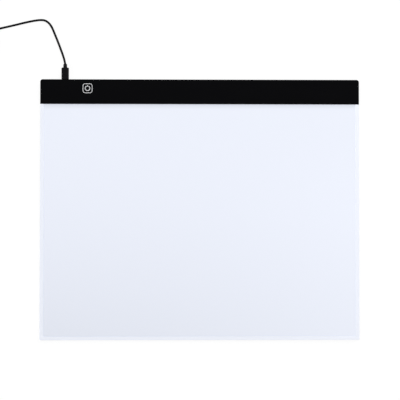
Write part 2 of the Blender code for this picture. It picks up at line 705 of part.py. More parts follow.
def make_control_board(parent, paints):
    """Control board with its touch chip, transistor, capacitor and the key's electrode."""
    left = SOCKET_X - BOARD_LEFT_MARGIN
    right = KEY_X + BOARD_RIGHT_MARGIN
    outline = rounded_loop(right - left, BOARD_DEPTH, BOARD_CORNER_RADIUS)
    mesh = prism_mesh("control_board", outline, 0.0, BOARD_THICKNESS)
    middle = ((left + right) / 2, BOARD_FRONT_Y - BOARD_DEPTH / 2, BOARD_BOTTOM)
    add_object("control_board", mesh, middle, parent, paints["circuit_board"])
    part_bottom = BOARD_TOP + FILM_GAP
    foam = rounded_loop(ELECTRODE_SIZE, ELECTRODE_SIZE, ELECTRODE_RADIUS)
    mesh = prism_mesh("touch_electrode", foam, part_bottom, BAR_CEILING - FILM_GAP)
    add_object("touch_electrode", mesh, (KEY_X, KEY_Y, 0.0), parent, paints["copper_foam"])
    make_touch_chip(parent, paints["chip_black"], part_bottom)
    board_parts = {
        "dimmer_transistor": (
            (TRANSISTOR_WIDTH, TRANSISTOR_LENGTH, TRANSISTOR_HEIGHT),
            KEY_X + TRANSISTOR_FROM_KEY,
            "chip_black",
        ),
        "input_capacitor": (
            (CAPACITOR_LENGTH, CAPACITOR_WIDTH, CAPACITOR_HEIGHT),
            SOCKET_X + CAPACITOR_FROM_SOCKET,
            "capacitor_ochre",
        ),
    }
    for name, (size, x, colour) in board_parts.items():
        place = (x, KEY_Y, part_bottom + size[2] / 2)
        add_object(name, box_mesh(name, size), place, parent, paints[colour])


def make_touch_chip(parent, material, bottom):
    """Touch controller: a moulded body with four flat legs on each side."""
    low = (-CHIP_LENGTH / 2, -CHIP_WIDTH / 2, CHIP_STAND_OFF)
    chip = boxes_mesh("touch_chip", [(low, (CHIP_LENGTH / 2, CHIP_WIDTH / 2, CHIP_HEIGHT))])
    place = (SOCKET_X + CHIP_FROM_SOCKET, KEY_Y, bottom)
    made = add_object("touch_chip", chip, place, parent, material)
    legs = []
    reach = CHIP_WIDTH / 2 + CHIP_LEG_REACH
    for number in range(CHIP_LEGS_PER_SIDE):
        x = CHIP_LEG_PITCH * (number - (CHIP_LEGS_PER_SIDE - 1) / 2)
        low = (x - CHIP_LEG_WIDTH / 2, -reach, 0.0)
        legs.append((low, (x + CHIP_LEG_WIDTH / 2, reach, CHIP_LEG_THICKNESS)))
    join(made, boxes_mesh("chip_legs", legs), place)


def make_socket(parent, paints):
    """Micro-USB socket: a drawn steel shell and the plastic block with its contact tongue."""
    outer = rounded_loop(SOCKET_WIDTH, SOCKET_HEIGHT, SOCKET_CORNER_RADIUS)
    inner_width, inner_height = SOCKET_WIDTH - 2 * SOCKET_WALL, SOCKET_HEIGHT - 2 * SOCKET_WALL
    inner = rounded_loop(inner_width, inner_height, SOCKET_CORNER_RADIUS - SOCKET_WALL)
    mesh = sleeve_mesh("micro_usb_socket", outer, inner, 0.0, SOCKET_DEPTH, across_y)
    place = Vector((SOCKET_X, SOCKET_BACK_Y, SOCKET_AXIS_Z))
    add_object("micro_usb_socket", mesh, place, parent, paints["plated_steel"])
    radius = SOCKET_CORNER_RADIUS - SOCKET_WALL - FILM_GAP
    block = rounded_loop(inner_width - 2 * FILM_GAP, inner_height - 2 * FILM_GAP, radius)
    loops = [across_y(block, y) for y in (FILM_GAP, SOCKET_BACK_BLOCK)]
    made = add_object(
        "micro_usb_socket_tongue",
        skin_mesh("micro_usb_socket_tongue", loops),
        place,
        parent,
        paints["socket_black"],
    )
    low = (-TONGUE_WIDTH / 2, SOCKET_BACK_BLOCK / 2, 0.0)
    high = (TONGUE_WIDTH / 2, SOCKET_DEPTH - TONGUE_SETBACK, TONGUE_THICKNESS)
    join(made, boxes_mesh("tongue_plate", [(low, high)]), place)


def make_wires(parent, paints):
    """Two wires from the right end of the board, through the rib's notch, to the LED strip."""
    start_y = BOARD_FRONT_Y - BOARD_DEPTH + WIRE_RUN_ON_BOARD
    board_z = BOARD_TOP + WIRE_RADIUS + FILM_GAP
    end_y = STRIP_TAPE_Y + TAPE_THICKNESS + FIT_GAP
    for side, name in ((-1, "wire_positive"), (1, "wire_negative")):
        x = notch_x() + side * WIRE_SPACING / 2
        route = [
            (x, start_y, board_z),
            (x, (start_y + RIB_BACK_Y) / 2, board_z),
            (x, RIB_BACK_Y, (board_z + GUIDE_MIDDLE) / 2),
            (x, end_y, GUIDE_MIDDLE),
        ]
        points = smooth_points(route, 2 * WIRE_RADIUS)
        colour = "wire_red" if side < 0 else "wire_black"
        add_tube(name, points, WIRE_RADIUS, CORD_BEVEL_STEPS, parent, paints[colour])


def make_screws(parent, material):
    """Small pan-head screws, driven from below into the bosses of the bar cover."""
    for number, (x, y) in enumerate(screw_places(), start=1):
        head_top = SCREW_SEAT - FIT_GAP
        profile = [(SCREW_HEAD_RADIUS, SCREW_HEAD_BOTTOM), (SCREW_HEAD_RADIUS, head_top)]
        profile += [(SCREW_SHANK_RADIUS, head_top), (SCREW_SHANK_RADIUS, SCREW_TIP)]
        name = f"bar_screw_{number}"
        mesh = turned_mesh(name, profile, SMALL_ROUND_STEPS)
        screw = add_object(name, mesh, (x, y, 0.0), parent, material)
        low, high = SCREW_HEAD_BOTTOM - OVERRUN, SCREW_HEAD_BOTTOM + CROSS_DEPTH
        for turn, (wide, deep) in enumerate(((CROSS_LENGTH, CROSS_WIDTH), (CROSS_WIDTH, CROSS_LENGTH))):
            arm = ((-wide / 2, -deep / 2, low), (wide / 2, deep / 2, high))
            cut(screw, boxes_mesh(f"cross_{number}_{turn}", [arm]), (x, y, 0.0))


def make_feet(parent, material):
    """Self-adhesive rubber feet in shallow round seats."""
    top = FLOOR_BOTTOM + FOOT_RECESS - FILM_GAP
    for number, (x, y) in enumerate(foot_places(), start=1):
        name = f"foot_{number}"
        mesh = turned_mesh(name, [(FOOT_RADIUS, 0.0), (FOOT_RADIUS, top)])
        soften(mesh, FOOT_EDGE_RADIUS, EDGE_STEPS, at_height(0.0))
        add_object(name, mesh, (x, y, 0.0), parent, material)


def plug_body_loops(size, neck, radius, face_round, shoulder, grooves, groove_depth):
    """Loops of a moulded plug body along +Y: face, sides, rounded shoulders and tapered neck.

    A neck with grooves has rings of its full width between narrower ones, so that it can bend.
    """
    width, thickness, length = size
    neck_width, tip_width, neck_length = neck
    shoulder_length, drop = shoulder
    face = rounded_loop(width - 2 * face_round, thickness - 2 * face_round, radius - face_round)
    loops = [across_y(face, 0.0), across_y(rounded_loop(width, thickness, radius), face_round)]
    start = length - shoulder_length
    for step in range(SHOULDER_STEPS + 1):
        turn = math.pi / 2 * step / SHOULDER_STEPS
        shrink = drop * (1 - math.cos(turn))
        y = start + shoulder_length * math.sin(turn)
        corner = min(radius, (thickness - shrink) / 2 - FIT_GAP)
        loops.append(across_y(rounded_loop(width - 2 * shrink, thickness - shrink, corner), y))
    steps = LOOPS_PER_GROOVE * grooves + 1
    for step in range(steps + 1):
        share = step / steps
        here = neck_width + (tip_width - neck_width) * share
        if step % LOOPS_PER_GROOVE >= LOOPS_PER_GROOVE / 2:
            here -= 2 * groove_depth
        neck_loop = rounded_loop(here, here, here / 2 - FIT_GAP)
        loops.append(across_y(neck_loop, length + neck_length * share))
    return loops


def with_pocket(loops, width, height, corner, depth):
    """Add a pocket in the face of a plug body, where its metal shell is held."""
    mouth = rounded_loop(width, height, corner)
    return [across_y(mouth, depth), across_y(mouth, 0.0), *loops]


def make_micro_plug(parent, paints):
    """Micro-USB plug: moulded grip, steel shell and the contact block inside it."""
    place = (SOCKET_X, PLUG_FACE_Y, SOCKET_AXIS_Z)
    loops = plug_body_loops(
        (PLUG_WIDTH, PLUG_THICKNESS, PLUG_LENGTH),
        (PLUG_NECK_WIDTH, PLUG_NECK_TIP_WIDTH, PLUG_NECK_LENGTH),
        PLUG_CORNER_RADIUS,
        PLUG_FACE_ROUND,
        (PLUG_SHOULDER_LENGTH, PLUG_SHOULDER_DROP),
        0,
        0.0,
    )
    grip = 2 * FIT_GAP
    width, height = PLUG_SHELL_WIDTH, PLUG_SHELL_HEIGHT
    loops = with_pocket(
        loops, width + grip, height + grip, PLUG_SHELL_CORNER + FIT_GAP, PLUG_SHELL_ROOT + FIT_GAP
    )
    mesh = skin_mesh("micro_usb_overmould", loops)
    add_object("micro_usb_overmould", mesh, place, parent, paints["cord_black"])
    outer = rounded_loop(width, height, PLUG_SHELL_CORNER)
    inner_width, inner_height = width - 2 * PLUG_SHELL_WALL, height - 2 * PLUG_SHELL_WALL
    inner_corner = max(PLUG_SHELL_CORNER - PLUG_SHELL_WALL, FILM_GAP)
    inner = rounded_loop(inner_width, inner_height, inner_corner)
    mesh = sleeve_mesh("micro_usb_shell", outer, inner, -PLUG_SHELL_REACH, PLUG_SHELL_ROOT, across_y)
    add_object("micro_usb_shell", mesh, place, parent, paints["plated_steel"])
    bottom = -inner_height / 2 + FILM_GAP
    low = (-CONTACT_BLOCK_WIDTH / 2, -PLUG_SHELL_REACH + CONTACT_BLOCK_SETBACK, bottom)
    high = (CONTACT_BLOCK_WIDTH / 2, PLUG_SHELL_ROOT, bottom + CONTACT_BLOCK_THICKNESS)
    mesh = boxes_mesh("micro_usb_contact_block", [(low, high)])
    add_object("micro_usb_contact_block", mesh, place, parent, paints["socket_black"])


def make_usb_a_plug(parent, paints, neck_end):
    """USB-A plug on the table, its neck towards +Y at the end of the cord's tail."""
    place = neck_end - Vector((0.0, USB_A_LENGTH + USB_A_NECK_LENGTH, 0.0))
    loops = plug_body_loops(
        (USB_A_WIDTH, USB_A_THICKNESS, USB_A_LENGTH),
        (USB_A_NECK_WIDTH, USB_A_NECK_TIP_WIDTH, USB_A_NECK_LENGTH),
        USB_A_CORNER_RADIUS,
        USB_A_FACE_ROUND,
        (USB_A_SHOULDER_LENGTH, USB_A_SHOULDER_DROP),
        USB_A_NECK_GROOVES,
        USB_A_NECK_GROOVE,
    )
    grip = 2 * FIT_GAP
    width, height = USB_A_SHELL_WIDTH, USB_A_SHELL_HEIGHT
    loops = with_pocket(
        loops, width + grip, height + grip, USB_A_SHELL_CORNER + FIT_GAP, USB_A_SHELL_ROOT + FIT_GAP
    )
    mesh = skin_mesh("usb_a_overmould", loops)
    add_object("usb_a_overmould", mesh, place, parent, paints["cord_black"])
    outer = rounded_loop(width, height, USB_A_SHELL_CORNER)
    inner_width, inner_height = width - 2 * USB_A_SHELL_WALL, height - 2 * USB_A_SHELL_WALL
    inner = rounded_loop(inner_width, inner_height, USB_A_SHELL_CORNER - USB_A_SHELL_WALL)
    mesh = sleeve_mesh("usb_a_shell", outer, inner, -USB_A_SHELL_REACH, USB_A_SHELL_ROOT, across_y)
    shell = add_object("usb_a_shell", mesh, place, parent, paints["plated_steel"])
    windows = []
    for side in (-1, 1):
        x = side * USB_A_WINDOW_SPACING / 2
        y = -USB_A_SHELL_REACH + USB_A_WINDOW_FROM_TIP
        low = (x - USB_A_WINDOW_WIDTH / 2, y, -height)
        windows.append((low, (x + USB_A_WINDOW_WIDTH / 2, y + USB_A_WINDOW_LENGTH, height)))
    cut(shell, boxes_mesh("latch_windows", windows), place)
    bottom = -inner_height / 2 + FILM_GAP
    half = inner_width / 2 - FIT_GAP
    low = (-half, -USB_A_SHELL_REACH + USB_A_BLOCK_SETBACK, bottom)
    high = (half, USB_A_SHELL_ROOT, bottom + USB_A_BLOCK_THICKNESS)
    mesh = boxes_mesh("usb_a_contact_block", [(low, high)])
    add_object("usb_a_contact_block", mesh, place, parent, paints["plug_white"])


def smooth_points(route, step):
    """Evenly spaced points on a smooth curve through a route's own points."""
    route = np.array(route, dtype=float)
    padded = np.vstack([2 * route[0] - route[1], route, 2 * route[-1] - route[-2]])
    fine = []
    for before, start, end, after in zip(padded, padded[1:], padded[2:], padded[3:]):
        leave, arrive = (end - before) / 2, (after - start) / 2
        for t in np.linspace(0.0, 1.0, SMALL_ROUND_STEPS, endpoint=False):
            bend = start * (2 * t**3 - 3 * t**2 + 1) + end * (3 * t**2 - 2 * t**3)
            fine.append(bend + leave * (t**3 - 2 * t**2 + t) + arrive * (t**3 - t**2))
    fine = np.array([*fine, route[-1]])
    along = np.concatenate([[0.0], np.cumsum(np.linalg.norm(np.diff(fine, axis=0), axis=1))])
    count = max(2, round(along[-1] / step) + 1)
    stations = np.linspace(0.0, along[-1], count)
    return [Vector([np.interp(s, along, fine[:, axis]) for axis in range(3)]) for s in stations]


def add_tube(name, points, radius, bevel_steps, parent, material):
    """A tube along points in the world, with filled ends."""
    curve = bpy.data.curves.new(name, "CURVE")
    curve.dimensions = "3D"
    curve.bevel_depth = radius
    curve.bevel_resolution = bevel_steps
    curve.use_fill_caps = True
    spline = curve.splines.new("POLY")
    spline.points.add(len(points) - 1)
    for point, place in zip(spline.points, points):
        point.co = (*(place - points[0]), 1.0)
    return add_object(name, curve, points[0], parent, material)


def coil_place(turn, middle):
    """A point of the coil: it spirals in and out in layers, and climbs where the spiral turns back."""
    layer = min(int(turn / COIL_TURNS_PER_LAYER), COIL_LAYERS - 1)
    within = turn - layer * COIL_TURNS_PER_LAYER
    inwards = layer % 2 == 0
    grown = COIL_TURNS_PER_LAYER - within if inwards else within
    radius = COIL_INNER_RADIUS + COIL_PITCH * grown
    climb = COIL_CLIMB_SHARE / 2
    level = float(layer)
    if layer > 0 and within < climb:
        level = layer - (1 - within / climb) / 2
    left = COIL_TURNS_PER_LAYER - within
    if layer < COIL_LAYERS - 1 and left < climb:
        level = layer + (1 - left / climb) / 2
    angle = math.pi / 2 + 2 * math.pi * turn
    lift = level * COIL_PITCH
    return middle + Vector((radius * math.cos(angle), radius * math.sin(angle), lift))


def coil_points(start):
    """The whole coil from its first point on the table to its last, with short straight ends."""
    straight = 2 * CORD_RADIUS
    middle = start - Vector((straight, COIL_OUTER_RADIUS, 0.0))
    turns = COIL_LAYERS * COIL_TURNS_PER_LAYER + COIL_LAST_QUARTER_SHARE
    count = round(turns * COIL_POINTS_PER_TURN)
    points = [start]
    points += [coil_place(number / COIL_POINTS_PER_TURN, middle) for number in range(count + 1)]
    points.append(points[-1] - Vector((0.0, straight, 0.0)))
    return middle, points


def report_coil_gap(points):
    """Measure and print how close the coil comes to itself, between points a half turn apart or more."""
    places = np.array([tuple(point) for point in points])
    ends = np.stack([places[:-1], places[1:]], axis=1)
    shares = np.linspace(0.0, 1.0, CORNER_STEPS, endpoint=False)
    fine = np.concatenate([ends[:, 0] + share * (ends[:, 1] - ends[:, 0]) for share in shares])
    order = np.concatenate([np.arange(len(ends)) + share for share in shares])
    least = math.inf
    for place, rank in zip(fine, order):
        far = np.abs(order - rank) > COIL_POINTS_PER_TURN / 2
        least = min(least, np.linalg.norm(fine[far] - place, axis=1).min())
    gap = least - 2 * CORD_RADIUS
    print(f"coil: {len(places)} points, least gap to itself {gap * 1000:.3f} mm")
    if gap < COIL_LEAST_GAP:
        print("coil: the loops are closer than they should be")
    length = np.linalg.norm(np.diff(places, axis=0), axis=1).sum()
    print(f"coil: {length:.3f} m of cord")


def make_coil_tie(parent, material, middle):
    """Flat twist tie round all the coil's loops, on its right side."""
    inner_edge = COIL_INNER_RADIUS - CORD_RADIUS - SEAT_GAP
    outer_edge = COIL_OUTER_RADIUS + COIL_PITCH * COIL_LAST_QUARTER_SHARE + CORD_RADIUS + SEAT_GAP
    low = middle.z - CORD_RADIUS - SEAT_GAP
    high = middle.z + COIL_PITCH * (COIL_LAYERS - 1) + CORD_RADIUS + SEAT_GAP
    width, height = outer_edge - inner_edge, high - low
    inner = rounded_loop(width, height, TIE_CORNER_RADIUS)
    full_width, full_height = width + 2 * TIE_THICKNESS, height + 2 * TIE_THICKNESS
    outer = rounded_loop(full_width, full_height, TIE_CORNER_RADIUS + TIE_THICKNESS)
    mesh = sleeve_mesh("coil_tie", outer, inner, -TIE_WIDTH / 2, TIE_WIDTH / 2, across_y)
    place = (middle.x + (inner_edge + outer_edge) / 2, middle.y, (low + high) / 2)
    add_object("coil_tie", mesh, place, parent, material)


def make_cable(parent, paints):
    """The detachable cable: plug, cord on the table, coil, tie, tail and USB-A plug."""
    make_micro_plug(parent, paints)
    black = paints["cord_black"]
    start = Vector((SOCKET_X, PLUG_NECK_END_Y + SEAT_GAP, SOCKET_AXIS_Z))
    coil_height = CORD_RADIUS + SEAT_GAP + TIE_THICKNESS
    route = [start + Vector(offset) for offset in CORD_ROUTE]
    run = smooth_points(route, CORD_POINT_STEP)
    add_tube("cord_run", run, CORD_RADIUS, CORD_BEVEL_STEPS, parent, black)
    coil_start = Vector((run[-1].x - SEAT_GAP, run[-1].y, coil_height))
    middle, points = coil_points(coil_start)
    report_coil_gap(points)
    add_tube("cord_coil", points, CORD_RADIUS, COIL_BEVEL_STEPS, parent, black)
    make_coil_tie(parent, paints["plug_white"], middle)
    tail_start = points[-1] - Vector((0.0, SEAT_GAP, 0.0))
    tail = smooth_points([tail_start + Vector(offset) for offset in TAIL_ROUTE], CORD_POINT_STEP)
    add_tube("cord_tail", tail, CORD_RADIUS, CORD_BEVEL_STEPS, parent, black)
    make_usb_a_plug(parent, paints, tail[-1] - Vector((0.0, SEAT_GAP, 0.0)))


def main():
    clear_scene()
    paints = make_materials()
    pad = make_empty("pad", (0.0, 0.0, 0.0))
    cable = make_empty("usb_cable", (SOCKET_X, PLUG_FACE_Y, SOCKET_AXIS_Z))
    make_rear_cover(pad, paints["white_plastic"])
    make_light_stack(pad, paints)
    make_led_strip(pad, paints)
    make_bar_cover(pad, paints["black_gloss"])
    make_control_board(pad, paints)
    make_socket(pad, paints)
    make_wires(pad, paints)
    make_screws(pad, paints["screw_steel"])
    make_feet(pad, paints["foot_rubber"])
    make_cable(cable, paints)


main()
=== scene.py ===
"""Finished look of an edge-lit tracing pad, with its black control bar and its USB cable."""

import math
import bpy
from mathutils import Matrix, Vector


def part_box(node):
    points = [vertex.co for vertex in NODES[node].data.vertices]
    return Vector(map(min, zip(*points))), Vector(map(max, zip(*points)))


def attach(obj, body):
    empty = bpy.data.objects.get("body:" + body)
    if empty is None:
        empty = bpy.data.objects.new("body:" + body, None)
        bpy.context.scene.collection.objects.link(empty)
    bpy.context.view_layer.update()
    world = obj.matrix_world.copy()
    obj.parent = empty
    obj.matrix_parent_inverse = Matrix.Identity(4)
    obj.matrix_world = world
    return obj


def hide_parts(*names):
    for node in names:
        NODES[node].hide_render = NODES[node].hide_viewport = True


bl_info = {
    "name": "LED Tracing Pad",
    "version": (1, 0, 0),
    "blender": (4, 5, 0),
    "location": "3D View > Sidebar > Tracing Pad",
    "description": "Builds the finished look of an edge-lit tracing pad and its cable",
    "category": "Object",
}

import bmesh
import bpy
from bpy.props import (
    FloatProperty,
    FloatVectorProperty,
    IntProperty,
    PointerProperty,
)
from bpy.types import Operator, Panel, PropertyGroup
from mathutils import Matrix, Vector

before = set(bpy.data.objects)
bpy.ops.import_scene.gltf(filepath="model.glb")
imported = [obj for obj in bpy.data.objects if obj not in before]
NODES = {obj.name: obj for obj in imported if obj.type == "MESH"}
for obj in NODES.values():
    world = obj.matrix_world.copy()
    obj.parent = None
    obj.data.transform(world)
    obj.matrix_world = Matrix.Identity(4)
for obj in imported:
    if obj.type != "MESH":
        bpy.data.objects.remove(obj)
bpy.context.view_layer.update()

SHARP_ANGLE = math.radians(38)
MERGE_DISTANCE = 0.000001
CORNER_STEPS = 6

# The cord's route on the table, as offsets from the end of the small plug's neck
CORD_ROUTE = (
    (0.0, 0.0, 0.0),
    (-0.0008, 0.0039, -0.0003),
    (-0.0030, 0.0112, -0.0012),
    (-0.0062, 0.0200, -0.0023),
    (-0.0108, 0.0321, -0.0029),
    (-0.0149, 0.0421, -0.0030),
    (-0.0184, 0.0504, -0.0030),
    (-0.0227, 0.0574, -0.0030),
    (-0.0292, 0.0620, -0.0030),
    (-0.0376, 0.0625, -0.0030),
    (-0.0520, 0.0601, -0.0030),
    (-0.0745, 0.0547, -0.0030),
    (-0.0913, 0.0508, -0.0030),
    (-0.1056, 0.0480, -0.0029),
    (-0.1176, 0.0464, -0.0025),
    (-0.1266, 0.0460, -0.0023),
)
TAIL_ROUTE = (
    (0.0, 0.0, 0.0),
    (0.0, -0.0050, -0.0003),
    (0.0004, -0.0110, -0.0019),
    (0.0022, -0.0180, -0.0051),
    (0.0048, -0.0250, -0.0080),
    (0.0068, -0.0310, -0.0090),
    (0.0072, -0.0360, -0.0091),
)
CORD_EXIT = Vector((-0.1902, 0.2051, 0.0046))
ROUTE_START = Vector((-0.1902, 0.2054, 0.0046))
ROUTE_STEP = 0.0058
COIL_LAYERS = 4
TURNS_PER_LAYER = 3
COIL_TURNS = 12.25
COIL_INNER_RADIUS = 0.0112
COIL_PITCH = 0.0036
COIL_CLIMB = 0.25
COIL_POINTS_PER_TURN = 24
COIL_BASE = 0.00235
JOIN_GAP = 0.0003
CURVE_STEPS = 16
DULL_SHEEN = {"Specular IOR Level": 0.08}

# Each moulded plug, from its face to the end of its neck, in metres
SMALL_PLUG = {
    "grip": (0.0163, 0.0021),  # length and corner
    "shoulder": (0.0010, 0.0012, 0.0005),  # drop at each side, over which length, drop on top
    "neck": (0.0056, 0.0053, 0.0050),  # width at the grip and at the tip, and length
    "grooves": (2, 0.0002),  # count and depth
    "dish": (0.0030, 0.0125),  # where it starts and ends
    "dish_frame": (0.0005, 0.0002),  # width and depth
    "ridges": (0.0046, 0.0021),  # where they start, and their pitch
    "ridge_size": (0.0042, 0.0007, 0.0004),
    "rounding": 0.00012,
}
LARGE_PLUG = {
    "grip": (0.0240, 0.0022),
    "shoulder": (0.0034, 0.0050, 0.0009),
    "neck": (0.0062, 0.0046, 0.0090),
    "grooves": (4, 0.00045),
    "dish": (0.0035, 0.0165),
    "dish_frame": (0.0010, 0.0003),
    "ridges": (0.0040, 0.0020),
    "ridge_size": (0.0008, 0.0008, 0.0034),
    "rounding": 0.00015,
}
FACE_ROUNDING = 0.0005
FACE_STEPS = 3
SHOULDER_STEPS = 6
FULLEST_CORNER = 0.96
NECK_CORNER = 0.485
ROOT_FLARE = 1.06
ROOT_GAP = 0.00005
GROOVES_START = 0.10
GROOVES_SHARE = 0.62
LAND_SHARE = 0.55
GROOVE_WALL = 0.00002
# Where the neck's tip rounds off, and its width and corner there as shares of the tip's width
TIP_ROUNDING = ((-0.0008, 1.0, NECK_CORNER), (-0.0003, 0.95, 0.46), (0.0003, 0.82, 0.40))
TOP_RIDGE_SINK = 0.00015
# How far the face that is dished may be off the grip's middle and off its height
DISH_SLACK = (0.0005, 0.00002)
SIDE_RIDGE_X = 0.0076
EXTRA_SIDE_RIDGES = 2

# The four contacts of the large plug: place across the tongue, and setback from its front
CONTACTS = ((-0.0035, 0.0), (-0.0010, 0.0010), (0.0010, 0.0010), (0.0035, 0.0))
CONTACT_SIZE = (0.0011, 0.0074, 0.0002)
CONTACT_START = 0.0008
CONTACT_LIFT = 0.00005
CONTACT_ROUNDING = 0.00005

# The twist tie: stations along its width, and its two ends, which wind round each other
TIE_STATIONS = (-1.0, -0.3, 0.0, 0.3, 1.0)
TIE_THINNING = 0.0002
TIE_CORNER = 0.0023
TIE_THICKNESS = 0.0003
TIE_END_INSET = Vector((-0.0002, 0.0, -0.0025))
TIE_END_SIZE = (0.00035, 0.0026, 1.0)
TIE_END_APART = 0.00035
TIE_END_TURN = math.radians(34)
TIE_END_STEP = Vector((0.00036, 0.0, -0.00005))
TIE_END_STEPS = 19

# The key's print
OUTLINE_STEPS = 10
RING_STEPS = 36
STEM_SHARE = 0.75
INK_ROUNDING = 0.3

# How the panel's glow falls off: the power of the way to the far edge, the power of the painted
# light to the right and the share of the depth over which it sets in, and the painted bar shadow
FAR_POWER = 2.2
PAINTED_RIGHT_POWER = 2.0
PAINTED_RIGHT_ONSET = 0.5
PAINTED_BAR_SHADOW_DEPTH = 0.038
PAINTED_BAR_SHADOW_POWER = 2.2

# The rim: the depths below the panel's face between which it soaks up light and glows, and its
# seam, where a painted glow lifts it
SOAK_DEPTHS = (0.0032, 0.0002)
SEAM_REACH = (0.0003, 0.0006)
SEAM_PAINTED_GLOW = 0.8

# The LEDs: half their pitch, half a window's width and how deep the windows' front is
LED_HALF_PITCH = 0.0045
LED_WINDOW = (0.0011, 0.0013)
LED_FRONT = (0.0001, 0.0003)

# The lamps' places and sizes, the floor and the sky
KEY_LAMP = ((1.45, 1.70, 2.15), (2.0, 1.6))
FILL_LAMP = ((-2.10, -1.00, 1.90), (1.8, 1.2))
EDGE_LAMP = ((-1.8, 0.35, 0.38), (0.9, 0.35))
NEAREST_SEEN = 0.05
FLOOR_DROP = 0.0001
FLOOR_BOUNCE = 0.8
FLOOR_SHADE = 0.10
FLOOR_LIGHT = 0.925
SKY_PANELS = 5.0
SKY_TURN = 1.2
SKY_SWING = 0.45
SKY_DARKENS = (0.72, 0.93)
HORIZON_LEVEL = 0.55
HORIZON_TOP = 0.45
SKY_LEAST = 0.02


class Signal:
    """A shader socket that can stand in a sum: each operation adds its own Math node."""

    def __init__(self, graph, socket):
        self.graph = graph
        self.socket = socket

    def __add__(self, other):
        return self.graph.maths("ADD", self, other)

    __radd__ = __add__

    def __sub__(self, other):
        return self.graph.maths("SUBTRACT", self, other)

    def __rsub__(self, other):
        return self.graph.maths("SUBTRACT", other, self)

    def __mul__(self, other):
        return self.graph.maths("MULTIPLY", self, other)

    __rmul__ = __mul__

    def __truediv__(self, other):
        return self.graph.maths("DIVIDE", self, other)

    def __pow__(self, other):
        return self.graph.maths("POWER", self, other)


class Graph:
    """The nodes of one material or of the world."""

    def __init__(self, owner):
        self.owner = owner
        owner.use_nodes = True
        self.tree = owner.node_tree
        self.tree.nodes.clear()

    def add(self, kind, settings=None, sockets=None):
        """Add a node: first its settings, then the values or links of its sockets."""
        node = self.tree.nodes.new(kind)
        for name, value in (settings or {}).items():
            setattr(node, name, value)
        inputs = {socket.identifier: socket for socket in node.inputs}
        for name, value in (sockets or {}).items():
            if isinstance(value, Signal):
                self.tree.links.new(value.socket, inputs[name])
            else:
                inputs[name].default_value = value
        return {socket.identifier: Signal(self, socket) for socket in node.outputs}

    def maths(self, operation, first, second):
        sockets = {"Value": first, "Value_001": second}
        return self.add("ShaderNodeMath", {"operation": operation}, sockets)["Value"]

    def place(self):
        """The point on the piece, in metres."""
        return self.add("ShaderNodeTexCoord")["Object"]

    def axes(self, vector):
        split = self.add("ShaderNodeSeparateXYZ", sockets={"Vector": vector})
        return split["X"], split["Y"], split["Z"]

    def stretched(self, vector, scale):
        settings = {"operation": "MULTIPLY"}
        sockets = {"Vector": vector, "Vector_001": scale}
        return self.add("ShaderNodeVectorMath", settings, sockets)["Vector"]

    def noise(self, vector, period, detail=2.0):
        """Soft noise from 0 to 1 whose blobs are about one period across."""
        sockets = {"Vector": vector, "Scale": 1.0 / period, "Detail": detail, "Roughness": 0.55}
        return self.add("ShaderNodeTexNoise", sockets=sockets)["Fac"]

    def ramp(self, value, low, high):
        """0 below low, 1 above high and smooth between them."""
        settings = {"interpolation_type": "SMOOTHSTEP"}
        sockets = {"Value": value, "From Min": low, "From Max": high}
        return self.add("ShaderNodeMapRange", settings, sockets)["Result"]

    def shaded(self, colour, amount):
        """A colour made lighter or darker by an amount that varies."""
        settings = {"operation": "SCALE"}
        sockets = {"Vector": colour, "Scale": amount}
        return self.add("ShaderNodeVectorMath", settings, sockets)["Vector"]

    def blend(self, share, first, second):
        """Mix two colours."""
        first, second = (*first, 1.0), (*second, 1.0)
        sockets = {"Factor_Float": share, "A_Color": first, "B_Color": second}
        return self.add("ShaderNodeMix", {"data_type": "RGBA"}, sockets)["Result_Color"]

    def bump(self, height, depth):
        sockets = {"Height": height, "Distance": depth, "Strength": 1.0}
        return self.add("ShaderNodeBump", sockets=sockets)["Normal"]

    def finish(self, colour, roughness, normal, extras=None):
        """End in a Principled shader and return the finished material."""
        sockets = {"Base Color": colour, "Roughness": roughness, "Normal": normal}
        sockets.update(extras or {})
        shader = self.add("ShaderNodeBsdfPrincipled", sockets=sockets)["BSDF"]
        self.add("ShaderNodeOutputMaterial", sockets={"Surface": shader})
        return self.owner


def grey(level):
    return (level, level, level, 1.0)


def new_material(name):
    return Graph(bpy.data.materials.new(name))


def moulded(name, colour, roughness, grain, depth, drift=0.06, extras=None):
    """Moulded or rolled plastic, rubber or film: clouded colour, uneven gloss and a fine grain."""
    graph = new_material(name)
    place = graph.place()
    cloud = graph.noise(place, 0.035, 3.0)
    fine = graph.noise(place, grain, 3.0)
    shade = (1.0 - drift) + cloud * drift + fine * drift
    gloss = (roughness - 0.05) + cloud * 0.06 + fine * 0.04
    return graph.finish(graph.shaded(colour, shade), gloss, graph.bump(fine, depth), extras)


def plated(name, colour, roughness):
    """Rolled and plated metal, with fine drawing lines along Y."""
    graph = new_material(name)
    place = graph.place()
    lines = graph.noise(graph.stretched(place, (1.0, 0.06, 1.0)), 0.00018, 3.0)
    stain = graph.noise(place, 0.004, 3.0)
    colour = graph.shaded(colour, 0.86 + stain * 0.2 + lines * 0.06)
    gloss = (roughness - 0.07) + stain * 0.10 + lines * 0.06
    return graph.finish(colour, gloss, graph.bump(lines, 0.000004), {"Metallic": 1.0})


def light_fall(graph, place, colours):
    """Share of the glow left at a place and how far it is from the bar; painted shade far left,
    painted light right.
    """
    low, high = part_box("front_panel")
    x, y, _ = graph.axes(place)
    along = (x - low.x) / (high.x - low.x)
    away = (high.y - y) / (high.y - low.y)
    far = graph.maths("MAXIMUM", away, 0.0) ** FAR_POWER
    # Painted light: the right side is made brighter, setting in away from the bar
    onset = graph.ramp(away, 0.0, PAINTED_RIGHT_ONSET)
    right = graph.maths("MAXIMUM", along, 0.0) ** PAINTED_RIGHT_POWER * onset
    # The glow falls off away from the bar, and more at the far left, which is painted shade
    fall = 1.0 - far * (colours.far_left_falloff_and_shade - along * colours.far_right_painted_light)
    return fall + right * colours.painted_right_light, away


